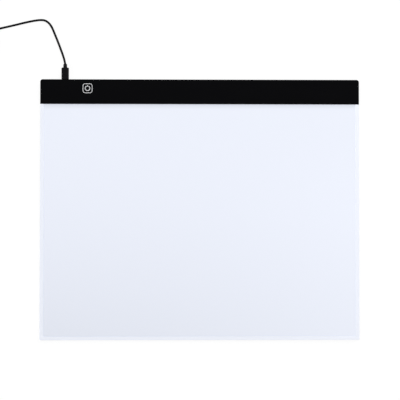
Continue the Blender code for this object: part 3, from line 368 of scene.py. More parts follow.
def lit_acrylic(colours):
    """Frosted sheet lit from the bar's side: glow falling off to the far left, painted light to
    the right, painted shadow by the bar.
    """
    graph = new_material("lit_frosted_acrylic")
    place = graph.place()
    fall, away = light_fall(graph, place, colours)
    # Painted shadow: a strip along the bar is darkened, in the glow and in the base colour
    shade = (1.0 - graph.ramp(away, 0.0, PAINTED_BAR_SHADOW_DEPTH)) ** PAINTED_BAR_SHADOW_POWER
    painted_shadow_factor = 1.0 - shade * colours.bar_painted_shadow
    frost = graph.noise(place, 0.0007, 4.0)
    cloud = graph.noise(place, 0.06, 2.0)
    level = fall * painted_shadow_factor * (0.994 + frost * 0.008 + cloud * 0.004)
    extras = {
        "Specular IOR Level": 0.25,
        "Emission Color": graph.shaded(colours.glow, level),
        "Emission Strength": 1.0,
    }
    # The base colour is darkened with the glow too: painted shade far from the bar and at the far
    # left, painted light at the right, painted shadow by the bar
    colour = graph.shaded(colours.panel, level)
    return graph.finish(colour, 0.38 + frost * 0.12, graph.bump(frost, 0.000012), extras)


def glowing_moulding(colours):
    """White moulding whose rim glows, partly with the panel's soaked-up light and partly painted,
    most in the seam and at the right.
    """
    graph = new_material("white_moulding")
    place = graph.place()
    fall, _ = light_fall(graph, place, colours)
    x, y, z = graph.axes(place)
    low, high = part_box("front_panel")
    soaked = graph.ramp(z, high.z - SOAK_DEPTHS[0], high.z - SOAK_DEPTHS[1])
    along = graph.maths("MAXIMUM", (x - low.x) / (high.x - low.x), 0.0)
    # Painted light: the rim glows more towards the right
    painted_rightwards = 1.0 + along ** PAINTED_RIGHT_POWER * colours.rim_painted_right_light
    beside = graph.maths("ABSOLUTE", x, 0.0) - high.x
    outside = graph.maths("MAXIMUM", beside, low.y - y)
    # Painted glow in the seam beside the panel, which lifts the gap's shade
    seam = 1.0 - graph.ramp(outside, *SEAM_REACH)
    glow = soaked * (1.0 + seam * SEAM_PAINTED_GLOW) * fall * painted_rightwards
    fine = graph.noise(place, 0.0006, 3.0)
    cloud = graph.noise(place, 0.035, 3.0)
    extras = {
        "Specular IOR Level": 0.35,
        "Emission Color": graph.shaded(colours.rim_glow, glow),
        "Emission Strength": 1.0,
    }
    colour = graph.shaded(colours.housing, 0.98 + fine * 0.02 + cloud * 0.02)
    gloss = 0.37 + cloud * 0.06 + fine * 0.04
    return graph.finish(colour, gloss, graph.bump(fine, 0.000012), extras)


def polished_black(colours):
    """Hard-coated black acrylic: deep gloss, a trace of orange peel and faint smears."""
    graph = new_material("polished_black_acrylic")
    place = graph.place()
    peel = graph.noise(place, 0.006, 1.0)
    smear = graph.noise(graph.stretched(place, (0.35, 1.0, 1.0)), 0.03, 4.0)
    dust = graph.noise(place, 0.0006, 2.0)
    colour = graph.shaded(colours.bar, 0.85 + smear * 0.2 + dust * 0.1)
    gloss = 0.07 + smear * 0.07 + dust * 0.02
    return graph.finish(colour, gloss, graph.bump(peel, 0.000012), {"Specular IOR Level": 0.3})


def solder_mask():
    """Green circuit board: copper runs show as lighter lines under the mask."""
    graph = new_material("solder_mask")
    place = graph.place()
    sockets = {
        "Vector": place,
        "Scale": 420.0,
        "Mortar Size": 0.10,
        "Mortar Smooth": 0.2,
        "Brick Width": 1.7,
        "Row Height": 0.8,
    }
    runs = graph.add("ShaderNodeTexBrick", {"offset": 0.37}, sockets)["Fac"]
    weave = graph.noise(place, 0.0005, 2.0)
    colour = graph.blend(runs, (0.012, 0.075, 0.035), (0.035, 0.17, 0.08))
    relief = graph.bump(runs + weave * 0.2, 0.00002)
    return graph.finish(colour, 0.28 + weave * 0.12, relief)


def led_row():
    """White strip board whose chips have yellow phosphor windows, one every 9 mm."""
    low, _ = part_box("led_strip")
    graph = new_material("led_row")
    place = graph.place()
    x, y, _ = graph.axes(place)
    across = graph.maths("PINGPONG", x, LED_HALF_PITCH)
    front = 1.0 - graph.ramp(y, low.y + LED_FRONT[0], low.y + LED_FRONT[1])
    window = (1.0 - graph.ramp(across, *LED_WINDOW)) * front
    grain = graph.noise(place, 0.0004, 2.0)
    colour = graph.blend(window, (0.80, 0.80, 0.77), (0.85, 0.62, 0.08))
    return graph.finish(colour, 0.35 + grain * 0.2, graph.bump(grain, 0.00001))


def woven_foam():
    """Conductive cloth over foam."""
    graph = new_material("copper_cloth")
    place = graph.place()
    settings = {"feature": "F1", "distance": "CHEBYCHEV"}
    sockets = {"Vector": place, "Scale": 2600.0, "Randomness": 0.0}
    weave = graph.add("ShaderNodeTexVoronoi", settings, sockets)["Distance"]
    cloud = graph.noise(place, 0.003, 2.0)
    colour = graph.shaded((0.55, 0.36, 0.22), 0.8 + cloud * 0.3 - weave * 0.2)
    return graph.finish(
        colour, 0.42 + cloud * 0.1, graph.bump(weave, 0.00006), {"Metallic": 0.6}
    )


def clear_acrylic():
    graph = new_material("clear_acrylic_sheet")
    place = graph.place()
    dots = graph.noise(place, 0.0012, 1.0)
    colour = graph.shaded((0.93, 0.96, 0.97), 0.97 + dots * 0.03)
    extras = {"Transmission Weight": 0.85, "IOR": 1.49}
    return graph.finish(colour, 0.06 + dots * 0.05, graph.bump(dots, 0.00001), extras)


def add_object(name, data):
    thing = bpy.data.objects.new(name, data)
    bpy.context.scene.collection.objects.link(thing)
    return thing


def add_mesh(shape, name, material):
    """Turn a finished bmesh into an object with one material."""
    mesh = bpy.data.meshes.new(name)
    shape.to_mesh(mesh)
    shape.free()
    mesh.materials.append(material)
    return add_object(name, mesh)


def put_in_place(shape, name, body, material, crisp=None):
    """Turn a finished bmesh into a piece that rides on a body of the frame."""
    bmesh.ops.recalc_face_normals(shape, faces=shape.faces)
    for face in shape.faces:
        face.smooth = True
    for edge in shape.edges:
        edge.smooth = edge.calc_face_angle(0.0) < SHARP_ANGLE
    piece = add_mesh(shape, name, material)
    if crisp:
        soften = piece.modifiers.new("soft edges", "BEVEL")
        soften.width = crisp
        soften.segments = 2
        soften.limit_method = "ANGLE"
        soften.angle_limit = SHARP_ANGLE
    even = piece.modifiers.new("even shading", "WEIGHTED_NORMAL")
    even.keep_sharp = True
    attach(piece, body)
    return piece


def finer_copy(node, name, body, material):
    """Let a merged, smoothly shaded copy stand for a node."""
    shape = bmesh.new()
    shape.from_mesh(NODES[node].data)
    bmesh.ops.remove_doubles(shape, verts=shape.verts, dist=MERGE_DISTANCE)
    piece = put_in_place(shape, name, body, material)
    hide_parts(node)


def paint_nodes(material, *names):
    """Give nodes that keep their shapes a better material."""
    for name in names:
        mesh = NODES[name].data
        for index in range(len(mesh.materials)):
            mesh.materials[index] = material


def round_off(shape, geom, offset, segments, affect="VERTICES"):
    """Round off corners, or edges."""
    bmesh.ops.bevel(
        shape,
        geom=geom,
        offset=offset,
        offset_type="OFFSET",
        segments=segments,
        profile=0.5,
        affect=affect,
        clamp_overlap=affect == "EDGES",
    )


def add_square(shape, half_side):
    return bmesh.ops.create_grid(shape, x_segments=1, y_segments=1, size=half_side)["verts"]


def add_loop(shape, width, height, corner, y, middle):
    """Add a rectangle with round corners that stands across Y, and return its edges."""
    before = set(shape.verts)
    square = add_square(shape, 0.5)
    bmesh.ops.scale(shape, verts=square, vec=(width, height, 1.0))
    round_off(shape, square, corner, CORNER_STEPS)
    made = [vert for vert in shape.verts if vert not in before]
    upright = Matrix.Rotation(math.pi / 2, 3, "X")
    bmesh.ops.rotate(shape, verts=made, matrix=upright)
    bmesh.ops.translate(shape, verts=made, vec=middle + Vector((0.0, y, 0.0)))
    faces = list({face for vert in made for face in vert.link_faces})
    edges = list({edge for vert in made for edge in vert.link_edges})
    return faces, edges


def loft(sections, middle):
    """A closed skin through sections of (y, width, height, corner)."""
    shape = bmesh.new()
    last = len(sections) - 1
    before = None
    for number, (y, width, height, corner) in enumerate(sections):
        faces, edges = add_loop(shape, width, height, corner, y, middle)
        if 0 < number < last:
            bmesh.ops.delete(shape, geom=faces, context="FACES_ONLY")
        if before:
            bmesh.ops.bridge_loops(shape, edges=before + edges)
        before = edges
    return shape


def add_bar(shape, size, middle, rounding):
    """Add a small block with soft edges."""
    verts = bmesh.ops.create_cube(shape, size=1.0)["verts"]
    bmesh.ops.scale(shape, verts=verts, vec=size)
    bmesh.ops.translate(shape, verts=verts, vec=middle)
    edges = list({edge for vert in verts for edge in vert.link_edges})
    round_off(shape, edges, rounding, 2, "EDGES")


def thicken(shape, faces, thickness):
    """Give flat faces a thickness, upwards, and keep their undersides."""
    made = bmesh.ops.extrude_face_region(shape, geom=faces, use_keep_orig=True)["geom"]
    verts = [item for item in made if isinstance(item, bmesh.types.BMVert)]
    bmesh.ops.translate(shape, verts=verts, vec=(0.0, 0.0, thickness))


def neck_ring(y, width):
    """A nearly round section of a plug's neck."""
    return y, width, width, width * NECK_CORNER


def plug_sections(width, height, plug):
    """Sections of a moulded plug from its face to the end of its neck."""
    length, corner = plug["grip"]
    drop, reach, drop_height = plug["shoulder"]
    neck_width, tip, neck_length = plug["neck"]
    count, cut = plug["grooves"]
    sections = []
    for step in range(FACE_STEPS + 1):
        turn = math.pi / 2 * step / FACE_STEPS
        inset = FACE_ROUNDING * (1 - math.sin(turn))
        y = FACE_ROUNDING * (1 - math.cos(turn))
        sections.append((y, width - 2 * inset, height - 2 * inset, corner - inset))
    for y in plug["dish"]:
        sections.append((y, width, height, corner))
    for step in range(SHOULDER_STEPS + 1):
        turn = math.pi / 2 * step / SHOULDER_STEPS
        y = length - reach + reach * math.sin(turn)
        shrink = 1 - math.cos(turn)
        high = height - 2 * drop_height * shrink
        bend = min(corner, high / 2 * FULLEST_CORNER)
        sections.append((y, width - 2 * drop * shrink, high, bend))
    sections.append(neck_ring(length + ROOT_GAP, neck_width * ROOT_FLARE))
    start = length + neck_length * GROOVES_START
    pitch = neck_length * GROOVES_SHARE / count
    for number in range(count + 1):
        y = start + pitch * number
        here = neck_width + (tip - neck_width) * ((y - length) / neck_length)
        sections.append(neck_ring(y, here))
        if number < count:
            lower = here - 2 * cut
            land_end = y + pitch * LAND_SHARE
            sections.append(neck_ring(land_end, here))
            sections.append(neck_ring(land_end + GROOVE_WALL, lower))
            sections.append(neck_ring(y + pitch - GROOVE_WALL, lower))
    for offset, across, bend in TIP_ROUNDING:
        y = length + neck_length + offset
        sections.append((y, tip * across, tip * across, tip * bend))
    return sections


def sink_dishes(shape, plug, half_height, middle):
    """Sink a shallow framed dish in the top and the bottom of a moulded plug."""
    frame_width, depth = plug["dish_frame"]
    first, last = plug["dish"]
    for side in (1, -1):
        found = None
        for face in shape.faces:
            spot = face.calc_center_median() - middle
            level = abs(spot.z - side * half_height) < DISH_SLACK[1]
            if level and first < spot.y < last and abs(spot.x) < DISH_SLACK[0]:
                found = face
        if found:
            bmesh.ops.inset_region(shape, faces=[found], thickness=frame_width)
            bmesh.ops.inset_region(shape, faces=[found], thickness=depth, depth=-depth)


def mould_grip(node, plug):
    """A plug's dished grip and neck in the place of a node, with its middle and half height."""
    low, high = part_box(node)
    middle = Vector(((low.x + high.x) / 2, low.y, (low.z + high.z) / 2))
    half_height = (high.z - low.z) / 2
    shape = loft(plug_sections(high.x - low.x, high.z - low.z, plug), middle)
    sink_dishes(shape, plug, half_height, middle)
    return shape, middle, half_height


def add_ridges(shape, plug, count, middle, offset):
    """Add a row of finger ridges to each of two opposite sides of a grip."""
    first, pitch = plug["ridges"]
    for side in (1, -1):
        for number in range(count):
            spot = middle + Vector((0.0, first + number * pitch, 0.0)) + side * offset
            add_bar(shape, plug["ridge_size"], spot, plug["rounding"])


def plug_rubber(name, cable):
    return moulded(name, cable.cord_colour, 0.5, 0.00035, 0.000018, 0.12, DULL_SHEEN)


def smooth_points(route, step):
    """Evenly spaced points on a smooth curve through a route's own points."""
    route = [Vector(point) for point in route]
    ends = [2 * route[0] - route[1], *route, 2 * route[-1] - route[-2]]
    fine = []
    for before, start, end, after in zip(ends, ends[1:], ends[2:], ends[3:]):
        leave, arrive = (end - before) / 2, (after - start) / 2
        for number in range(CURVE_STEPS):
            t = number / CURVE_STEPS
            bend = start * (2 * t**3 - 3 * t**2 + 1) + end * (3 * t**2 - 2 * t**3)
            fine.append(bend + leave * (t**3 - 2 * t**2 + t) + arrive * (t**3 - t**2))
    fine.append(route[-1])
    along = [0.0]
    for first, second in zip(fine, fine[1:]):
        along.append(along[-1] + (second - first).length)
    count = max(2, round(along[-1] / step) + 1)
    points, at = [], 0
    for number in range(count):
        reach = along[-1] * number / (count - 1)
        while at < len(along) - 2 and along[at + 1] < reach:
            at += 1
        share = (reach - along[at]) / (along[at + 1] - along[at])
        points.append(fine[at].lerp(fine[at + 1], share))
    return points


def coil_place(turn, middle):
    """A point of the coil, which winds in and out in layers and climbs where it turns back."""
    layer = min(int(turn / TURNS_PER_LAYER), COIL_LAYERS - 1)
    within = turn - layer * TURNS_PER_LAYER
    grown = TURNS_PER_LAYER - within if layer % 2 == 0 else within
    radius = COIL_INNER_RADIUS + COIL_PITCH * grown
    left = TURNS_PER_LAYER - within
    level = float(layer)
    if layer > 0 and within < COIL_CLIMB:
        level = layer - (1 - within / COIL_CLIMB) / 2
    if layer < COIL_LAYERS - 1 and left < COIL_CLIMB:
        level = layer + (1 - left / COIL_CLIMB) / 2
    angle = math.pi / 2 + 2 * math.pi * turn
    lift = level * COIL_PITCH
    return middle + Vector((radius * math.cos(angle), radius * math.sin(angle), lift))


def cord_places(diameter):
    """Points of the whole cord, from the small plug through the coil to the large plug."""
    run = smooth_points([ROUTE_START + Vector(offset) for offset in CORD_ROUTE], ROUTE_STEP)
    outer = COIL_INNER_RADIUS + TURNS_PER_LAYER * COIL_PITCH
    start = Vector((run[-1].x - JOIN_GAP, run[-1].y, COIL_BASE))
    middle = start - Vector((diameter, outer, 0.0))
    count = round(COIL_TURNS * COIL_POINTS_PER_TURN)
    coil = [coil_place(number / COIL_POINTS_PER_TURN, middle) for number in range(count + 1)]
    coil_end = coil[-1] - Vector((0.0, diameter + JOIN_GAP, 0.0))
    tail = smooth_points([coil_end + Vector(offset) for offset in TAIL_ROUTE], ROUTE_STEP)
    run[0] = CORD_EXIT
    return [*run, *coil, *tail, tail[-1] - Vector((0.0, 2 * JOIN_GAP, 0.0))]


def tint(name, about, default):
    """A colour setting."""
    return FloatVectorProperty(
        name=name, description=about, subtype="COLOR", size=3, min=0.0, max=1.0, default=default
    )


def portion(name, about, default):
    """A setting that is a share of something."""
    return FloatProperty(
        name=name, description=about, subtype="FACTOR", min=0.0, max=1.0, default=default
    )


def metres(name, about, default):
    """A setting in metres."""
    return FloatProperty(name=name, description=about, unit="LENGTH", default=default)


def light(name, about, default):
    """A setting for the strength of a light."""
    return FloatProperty(name=name, description=about, min=0.0, default=default)


class PadColours(PropertyGroup):
    """Colours and levels of the pad's surfaces."""

    panel: tint("Panel", "Colour of the frosted sheet at the bar's side", (0.509, 0.524, 0.564))
    glow: tint(
        "Glow", "Light that the frosted sheet gives at the bar's side", (0.366, 0.386, 0.441)
    )
    # The rim's glow: partly light soaked up from the panel, partly painted glow
    rim_glow: tint(
        "Rim glow",
        "Light that the rim soaks up from the panel and gives again",
        (0.135, 0.140, 0.155),
    )
    # Painted light and shade on the panel and the rim: shade at the far left, light at the right,
    # a shadow along the bar
    far_left_falloff_and_shade: portion(
        "Far left loss", "Share of the light that is lost in the far left corner", 0.10
    )
    far_right_painted_light: portion(
        "Far right gain", "How much of that loss the far right corner is spared", 0.06
    )
    painted_right_light: portion("Right gain", "Share of the light that the right side has more", 0.035)
    rim_painted_right_light: portion(
        "Rim right gain", "Share of its light that the rim has more at the right", 0.22
    )
    bar_painted_shadow: portion(
        "Bar side loss", "Share of the light that is lost close to the bar", 0.135
    )
    housing: tint("Housing", "Colour of the white moulding and its rim", (0.775, 0.80, 0.87))
    bar: tint("Control bar", "Colour of the polished control bar", (0.0034, 0.0034, 0.0040))
    print_ink: tint("Key print", "Colour of the printed touch key", (0.82, 0.82, 0.83))


class KeySizes(PropertyGroup):
    """Sizes of the printed touch key."""

    outline: metres("Outline", "Width and height of the key's outline", 0.0135)
    corner: metres("Corner radius", "Radius of the outline's corners", 0.0036)
    stroke: metres("Stroke", "Width of the outline's line", 0.00066)
    ring_radius: metres("Ring radius", "Radius of the middle of the symbol's ring", 0.0033)
    ring_stroke: metres("Ring stroke", "Width of the symbol's lines", 0.0009)
    gap: FloatProperty(
        name="Ring gap",
        description="Half the opening of the symbol's ring, in degrees",
        default=25.0,
    )
    stem_length: metres("Stem length", "Length of the symbol's stem", 0.0026)
    stem_middle: metres(
        "Stem middle", "How far the middle of the stem stands from the middle of the ring", 0.0034
    )
    thickness: metres("Ink thickness", "How far the ink stands on the bar", 0.00003)


class CableSizes(PropertyGroup):
    """Sizes and colours of the cable."""

    cord_diameter: metres("Cord diameter", "Diameter of the cord", 0.0031)
    cord_length: metres("Cord length", "Length of the cord between its two plugs", 1.5)
    cord_colour: tint(
        "Cord", "Colour of the cord and of the moulded plugs", (0.0066, 0.0063, 0.0076)
    )
    ridges: IntProperty(
        name="Finger ridges",
        description="Raised ridges on each face of a moulded plug",
        min=0,
        max=8,
        default=4,
    )


class StageSettings(PropertyGroup):
    """The floor, the lamps and the camera."""

    camera_place: FloatVectorProperty(
        name="Camera place",
        description="Where the camera stands",
        subtype="TRANSLATION",
        size=3,
        default=(-0.02630, -0.02553, 1.6),
    )
    camera_turn: FloatVectorProperty(
        name="Camera turn",
        description="Turn of the camera about X, Y and Z",
        subtype="EULER",
        size=3,
        default=(0.02442, -0.01661, 0.00039),
    )
    lens: FloatProperty(
        name="Lens",
        description="Focal length in millimetres, on a sensor 36 mm wide",
        default=101.84,
    )
    floor_side: metres("Floor side", "Side of the square floor", 8.0)
    sky_level: light("Sky level", "Light that comes from all round", 0.445)
    key_power: light("Key lamp", "Power of the large soft lamp in watts", 62.0)
    fill_power: light("Fill lamp", "Power of the fill lamp in watts", 31.0)
    edge_power: light("Edge lamp", "Power of the low lamp at the left in watts", 3.0)


class TracingPadSettings(PropertyGroup):
    """All sizes and colours of the tracing pad."""

    colours: PointerProperty(type=PadColours)
    key: PointerProperty(type=KeySizes)
    cable: PointerProperty(type=CableSizes)
    stage: PointerProperty(type=StageSettings)


def seeing(graph):
    """1 on rays that show the background: from the camera, a glossy surface or a clear one."""
    path = graph.add("ShaderNodeLightPath")
    direct = graph.maths("MAXIMUM", path["Is Camera Ray"], path["Is Glossy Ray"])
    return graph.maths("MAXIMUM", direct, path["Is Transmission Ray"])


def add_lamp(name, place, size, power):
    """A soft rectangular lamp that faces the pad."""
    lamp = bpy.data.lights.new(name, "AREA")
    lamp.shape = "RECTANGLE"
    lamp.size, lamp.size_y = size
    lamp.energy = power
    stand = add_object(name, lamp)
    stand.location = place
    stand.rotation_euler = Vector(place).to_track_quat("Z", "Y").to_euler()


class TRACINGPAD_OT_stage(Operator):
    """Set up the white floor, the soft lamps, the sky and the camera"""

    bl_idname = "tracing_pad.stage"
    bl_label = "Stage"

    def execute(self, context):
        stage = context.scene.tracing_pad.stage
        self.lay_floor(stage)
        self.light_sky(context.scene, stage)
        add_lamp("key_lamp", *KEY_LAMP, stage.key_power)
        add_lamp("fill_lamp", *FILL_LAMP, stage.fill_power)
        add_lamp("edge_lamp", *EDGE_LAMP, stage.edge_power)
        self.place_camera(context.scene, stage)
        context.scene.view_settings.view_transform = "Standard"
        return {"FINISHED"}

    def lay_floor(self, stage):
        shape = bmesh.new()
        add_square(shape, stage.floor_side / 2)
        graph = new_material("white_floor")
        matt = graph.add("ShaderNodeBsdfDiffuse", sockets={"Color": grey(FLOOR_BOUNCE)})["BSDF"]
        shadow = graph.add("ShaderNodeBsdfDiffuse", sockets={"Color": grey(FLOOR_SHADE)})["BSDF"]
        sockets = {"Color": grey(1.0), "Strength": FLOOR_LIGHT}
        white = graph.add("ShaderNodeEmission", sockets=sockets)["Emission"]
        seen = graph.add("ShaderNodeAddShader", sockets={"Shader": shadow, "Shader_001": white})
        sockets = {"Fac": seeing(graph), "Shader": matt, "Shader_001": seen["Shader"]}
        both = graph.add("ShaderNodeMixShader", sockets=sockets)["Shader"]
        graph.add("ShaderNodeOutputMaterial", sockets={"Surface": both})
        floor = add_mesh(shape, "floor", graph.owner)
        floor.location = (0.0, 0.0, -FLOOR_DROP)

    def light_sky(self, scene, stage):
        """White where the camera sees it; else soft panels all round and dark overhead."""
        world = bpy.data.worlds.new("studio")
        scene.world = world
        graph = Graph(world)
        direction = graph.add("ShaderNodeTexCoord")["Generated"]
        x, y, up = graph.axes(direction)
        turn = graph.maths("ARCTAN2", y, x)
        panels = 1.0 + graph.maths("SINE", turn * SKY_PANELS + SKY_TURN, 0.0) * SKY_SWING
        overhead = 1.0 - graph.ramp(up, *SKY_DARKENS)
        skyline = HORIZON_LEVEL + graph.ramp(up, 0.0, HORIZON_TOP) * (1.0 - HORIZON_LEVEL)
        unseen = SKY_LEAST + overhead * skyline * panels * stage.sky_level
        camera = graph.add("ShaderNodeLightPath")["Is Camera Ray"]
        strength = unseen * (1.0 - camera) + camera
        sockets = {"Color": grey(1.0), "Strength": strength}
        sky = graph.add("ShaderNodeBackground", sockets=sockets)["Background"]
        graph.add("ShaderNodeOutputWorld", sockets={"Surface": sky})

    def place_camera(self, scene, stage):
        lens = bpy.data.cameras.new("camera")
        lens.lens = stage.lens
        lens.clip_start = NEAREST_SEEN
        camera = add_object("camera", lens)
        camera.location = stage.camera_place
        camera.rotation_euler = stage.camera_turn
        scene.camera = camera


class TRACINGPAD_OT_cord(Operator):
    """Lay the cord from the small plug to its coil and on to the large plug"""

    bl_idname = "tracing_pad.cord"
    bl_label = "Cord"

    def execute(self, context):
        cable = context.scene.tracing_pad.cable
        places = cord_places(cable.cord_diameter)
        curve = bpy.data.curves.new("cord", "CURVE")
        curve.dimensions = "3D"
        curve.bevel_depth = cable.cord_diameter / 2
        curve.bevel_resolution = 4
        curve.resolution_u = 3
        curve.use_fill_caps = True
        spline = curve.splines.new("BEZIER")
        spline.bezier_points.add(len(places) - 1)
        ends = [2 * places[0] - places[1], *places, 2 * places[-1] - places[-2]]
        for point, before, here, after in zip(spline.bezier_points, ends, ends[1:], ends[2:]):
            along = (after - before).normalized()
            point.handle_left_type = point.handle_right_type = "FREE"
            point.co = here
            point.handle_left = here - along * (here - before).length / 3
            point.handle_right = here + along * (after - here).length / 3
        paint = moulded(
            "black_cord_sheath", cable.cord_colour, 0.46, 0.0005, 0.00002, 0.12, DULL_SHEEN
        )
        curve.materials.append(paint)
        cord = add_object("cord", curve)
        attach(cord, "usb_cable")
        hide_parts("cord_run", "cord_coil", "cord_tail")
        return {"FINISHED"}


class TRACINGPAD_OT_declare_cord(Operator):
    bl_idname = "tracing_pad.declare_cord"
    bl_label = "Declare cord"

    def execute(self, context):
        return {"FINISHED"}


class TRACINGPAD_OT_small_plug(Operator):
    """Mould the small plug, with its shell and its contacts"""

    bl_idname = "tracing_pad.small_plug"
    bl_label = "Small plug"

    def execute(self, context):
        cable = context.scene.tracing_pad.cable
        shape, middle, half_height = mould_grip("micro_usb_overmould", SMALL_PLUG)
        upwards = Vector((0.0, 0.0, half_height - TOP_RIDGE_SINK))
        add_ridges(shape, SMALL_PLUG, cable.ridges, middle, upwards)
        paint = plug_rubber("black_plug_small", cable)
        crisp = SMALL_PLUG["rounding"]
        grip = put_in_place(shape, "small_plug_grip", "usb_cable", paint, crisp)
        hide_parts("micro_usb_overmould")
        steel = plated("nickel_small_shell", (0.62, 0.61, 0.60), 0.24)
        finer_copy("micro_usb_shell", "small_plug_shell", "usb_cable", steel)
        black = moulded("black_contact_block", (0.015, 0.015, 0.016), 0.42, 0.0003, 0.00001)
        paint_nodes(black, "micro_usb_contact_block")
        return {"FINISHED"}


class TRACINGPAD_OT_large_plug(Operator):
    """Mould the large plug, with its shell, its tongue and its four contacts"""

    bl_idname = "tracing_pad.large_plug"
    bl_label = "Large plug"

    def execute(self, context):
        cable = context.scene.tracing_pad.cable
        shape, middle, _ = mould_grip("usb_a_overmould", LARGE_PLUG)
        sideways = Vector((SIDE_RIDGE_X, 0.0, 0.0))
        add_ridges(shape, LARGE_PLUG, cable.ridges + EXTRA_SIDE_RIDGES, middle, sideways)
        paint = plug_rubber("black_plug_large", cable)
        crisp = LARGE_PLUG["rounding"]
        grip = put_in_place(shape, "large_plug_grip", "usb_cable", paint, crisp)
        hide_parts("usb_a_overmould")
        steel = plated("nickel_large_shell", (0.64, 0.63, 0.62), 0.22)
        finer_copy("usb_a_shell", "large_plug_shell", "usb_cable", steel)
        white = moulded("white_plug_tongue", (0.78, 0.78, 0.75), 0.45, 0.0004, 0.00001)
        paint_nodes(white, "usb_a_contact_block")
        self.lay_contacts()
        return {"FINISHED"}

    def lay_contacts(self):
        low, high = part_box("usb_a_contact_block")
        shape = bmesh.new()
        across, along, up = CONTACT_SIZE
        for offset, setback in CONTACTS:
            x = (low.x + high.x) / 2 + offset
            y = low.y + CONTACT_START + (along - setback) / 2 + setback
            spot = Vector((x, y, high.z + CONTACT_LIFT))
            add_bar(shape, (across, along - setback, up), spot, CONTACT_ROUNDING)
        gold = plated("gold_contact_strips", (0.93, 0.68, 0.32), 0.22)
        put_in_place(shape, "large_plug_contacts", "usb_cable", gold)


class TRACINGPAD_OT_twist_tie(Operator):
    """Close a twist tie round the coil, with its ends twisted together"""

    bl_idname = "tracing_pad.twist_tie"
    bl_label = "Twist tie"

    def execute(self, context):
        low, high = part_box("coil_tie")
        width, height = high.x - low.x, high.z - low.z
        middle = (low + high) / 2
        shape = bmesh.new()
        half = (high.y - low.y) / 2
        # The strip is thin at its edges and thick over the wire in its middle
        before = None
        for station in TIE_STATIONS:
            inset = TIE_THINNING if station else 0.0
            size = (width - 2 * inset, height - 2 * inset, TIE_CORNER - inset)
            faces, edges = add_loop(shape, *size, half * station, middle)
            bmesh.ops.delete(shape, geom=faces, context="FACES_ONLY")
            if before:
                bmesh.ops.bridge_loops(shape, edges=before + edges)
            before = edges
        bmesh.ops.recalc_face_normals(shape, faces=shape.faces)
        bmesh.ops.solidify(shape, geom=list(shape.faces), thickness=TIE_THICKNESS)
        self.twist_ends(shape, Vector((high.x, middle.y, middle.z)) + TIE_END_INSET)
        paint = moulded("white_tie_film", (0.80, 0.80, 0.78), 0.42, 0.0006, 0.00002)
        tie = put_in_place(shape, "twist_tie", "usb_cable", paint)
        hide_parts("coil_tie")
        return {"FINISHED"}

    def twist_ends(self, shape, root):
        """Two short strips that wind round each other and end side by side."""
        upright = Matrix.Rotation(math.pi / 2, 3, "Y")
        about = Matrix.Rotation(TIE_END_TURN, 3, "X")
        for side in (1, -1):
            verts = add_square(shape, 0.5)
            bmesh.ops.scale(shape, verts=verts, vec=TIE_END_SIZE)
            bmesh.ops.rotate(shape, verts=verts, matrix=upright)
            apart = Vector((0.0, 0.0, side * TIE_END_APART))
            bmesh.ops.translate(shape, verts=verts, vec=root + apart)
            face = verts[0].link_faces[0]
            centre = root.copy()
            for _ in range(TIE_END_STEPS):
                made = bmesh.ops.extrude_face_region(shape, geom=[face])["geom"]
                bmesh.ops.delete(shape, geom=[face], context="FACES_ONLY")
                moved = [item for item in made if isinstance(item, bmesh.types.BMVert)]
                face = [item for item in made if isinstance(item, bmesh.types.BMFace)][0]
                bmesh.ops.translate(shape, verts=moved, vec=TIE_END_STEP)
                centre += TIE_END_STEP
                bmesh.ops.rotate(shape, verts=moved, cent=centre, matrix=about)


class TRACINGPAD_OT_control_bar(Operator):
    """Polish the control bar"""

    bl_idname = "tracing_pad.control_bar"
    bl_label = "Control bar"

    def execute(self, context):
        black = polished_black(context.scene.tracing_pad.colours)
        finer_copy("bar_cover", "control_bar", "pad", black)
        return {"FINISHED"}


class TRACINGPAD_OT_key_print(Operator):
    """Print the touch key's outline and its power symbol on the bar"""

    bl_idname = "tracing_pad.key_print"
    bl_label = "Key print"

    def execute(self, context):
        settings = context.scene.tracing_pad
        key = settings.key
        low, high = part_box("touch_electrode")
        _, bar_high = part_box("bar_cover")
        centre = Vector(((low.x + high.x) / 2, (low.y + high.y) / 2, bar_high.z))
        shape = bmesh.new()
        self.draw_outline(shape, key)
        self.draw_symbol(shape, key)
        bmesh.ops.translate(shape, verts=shape.verts, vec=centre)
        ink = moulded("light_key_ink", settings.colours.print_ink, 0.5, 0.0004, 0.000006)
        put_in_place(shape, "key_print", "pad", ink)
        return {"FINISHED"}

    def draw_outline(self, shape, key):
        round_off(shape, add_square(shape, key.outline / 2), key.corner, OUTLINE_STEPS)
        face = shape.faces[:][0]
        bmesh.ops.inset_region(shape, faces=[face], thickness=key.stroke, use_boundary=True)
        bmesh.ops.delete(shape, geom=[face], context="FACES")
        thicken(shape, list(shape.faces), key.thickness)

    def draw_symbol(self, shape, key):
        """An open ring with a stem in its gap."""
        gap = math.radians(key.gap)
        half = key.ring_stroke / 2
        ends = []
        for radius in (key.ring_radius - half, key.ring_radius + half):
            place = (-radius * math.sin(gap), radius * math.cos(gap), 0.0)
            ends += bmesh.ops.create_vert(shape, co=place)["vert"]
        line = bmesh.ops.contextual_create(shape, geom=ends)["edges"]
        before = set(shape.faces)
        bmesh.ops.spin(
            shape,
            geom=ends + line,
            axis=(0.0, 0.0, 1.0),
            angle=2 * math.pi - 2 * gap,
            steps=RING_STEPS,
        )
        ring = [face for face in shape.faces if face not in before]
        thicken(shape, ring, key.thickness)
        middle = Vector((0.0, key.stem_middle, key.thickness / 2))
        size = (key.ring_stroke * STEM_SHARE, key.stem_length, key.thickness)
        add_bar(shape, size, middle, key.thickness * INK_ROUNDING)


class TRACINGPAD_OT_light_panel(Operator):
    """Light the frosted sheet"""

    bl_idname = "tracing_pad.light_panel"
    bl_label = "Light panel"

    def execute(self, context):
        lit = lit_acrylic(context.scene.tracing_pad.colours)
        finer_copy("front_panel", "light_panel", "pad", lit)
        return {"FINISHED"}


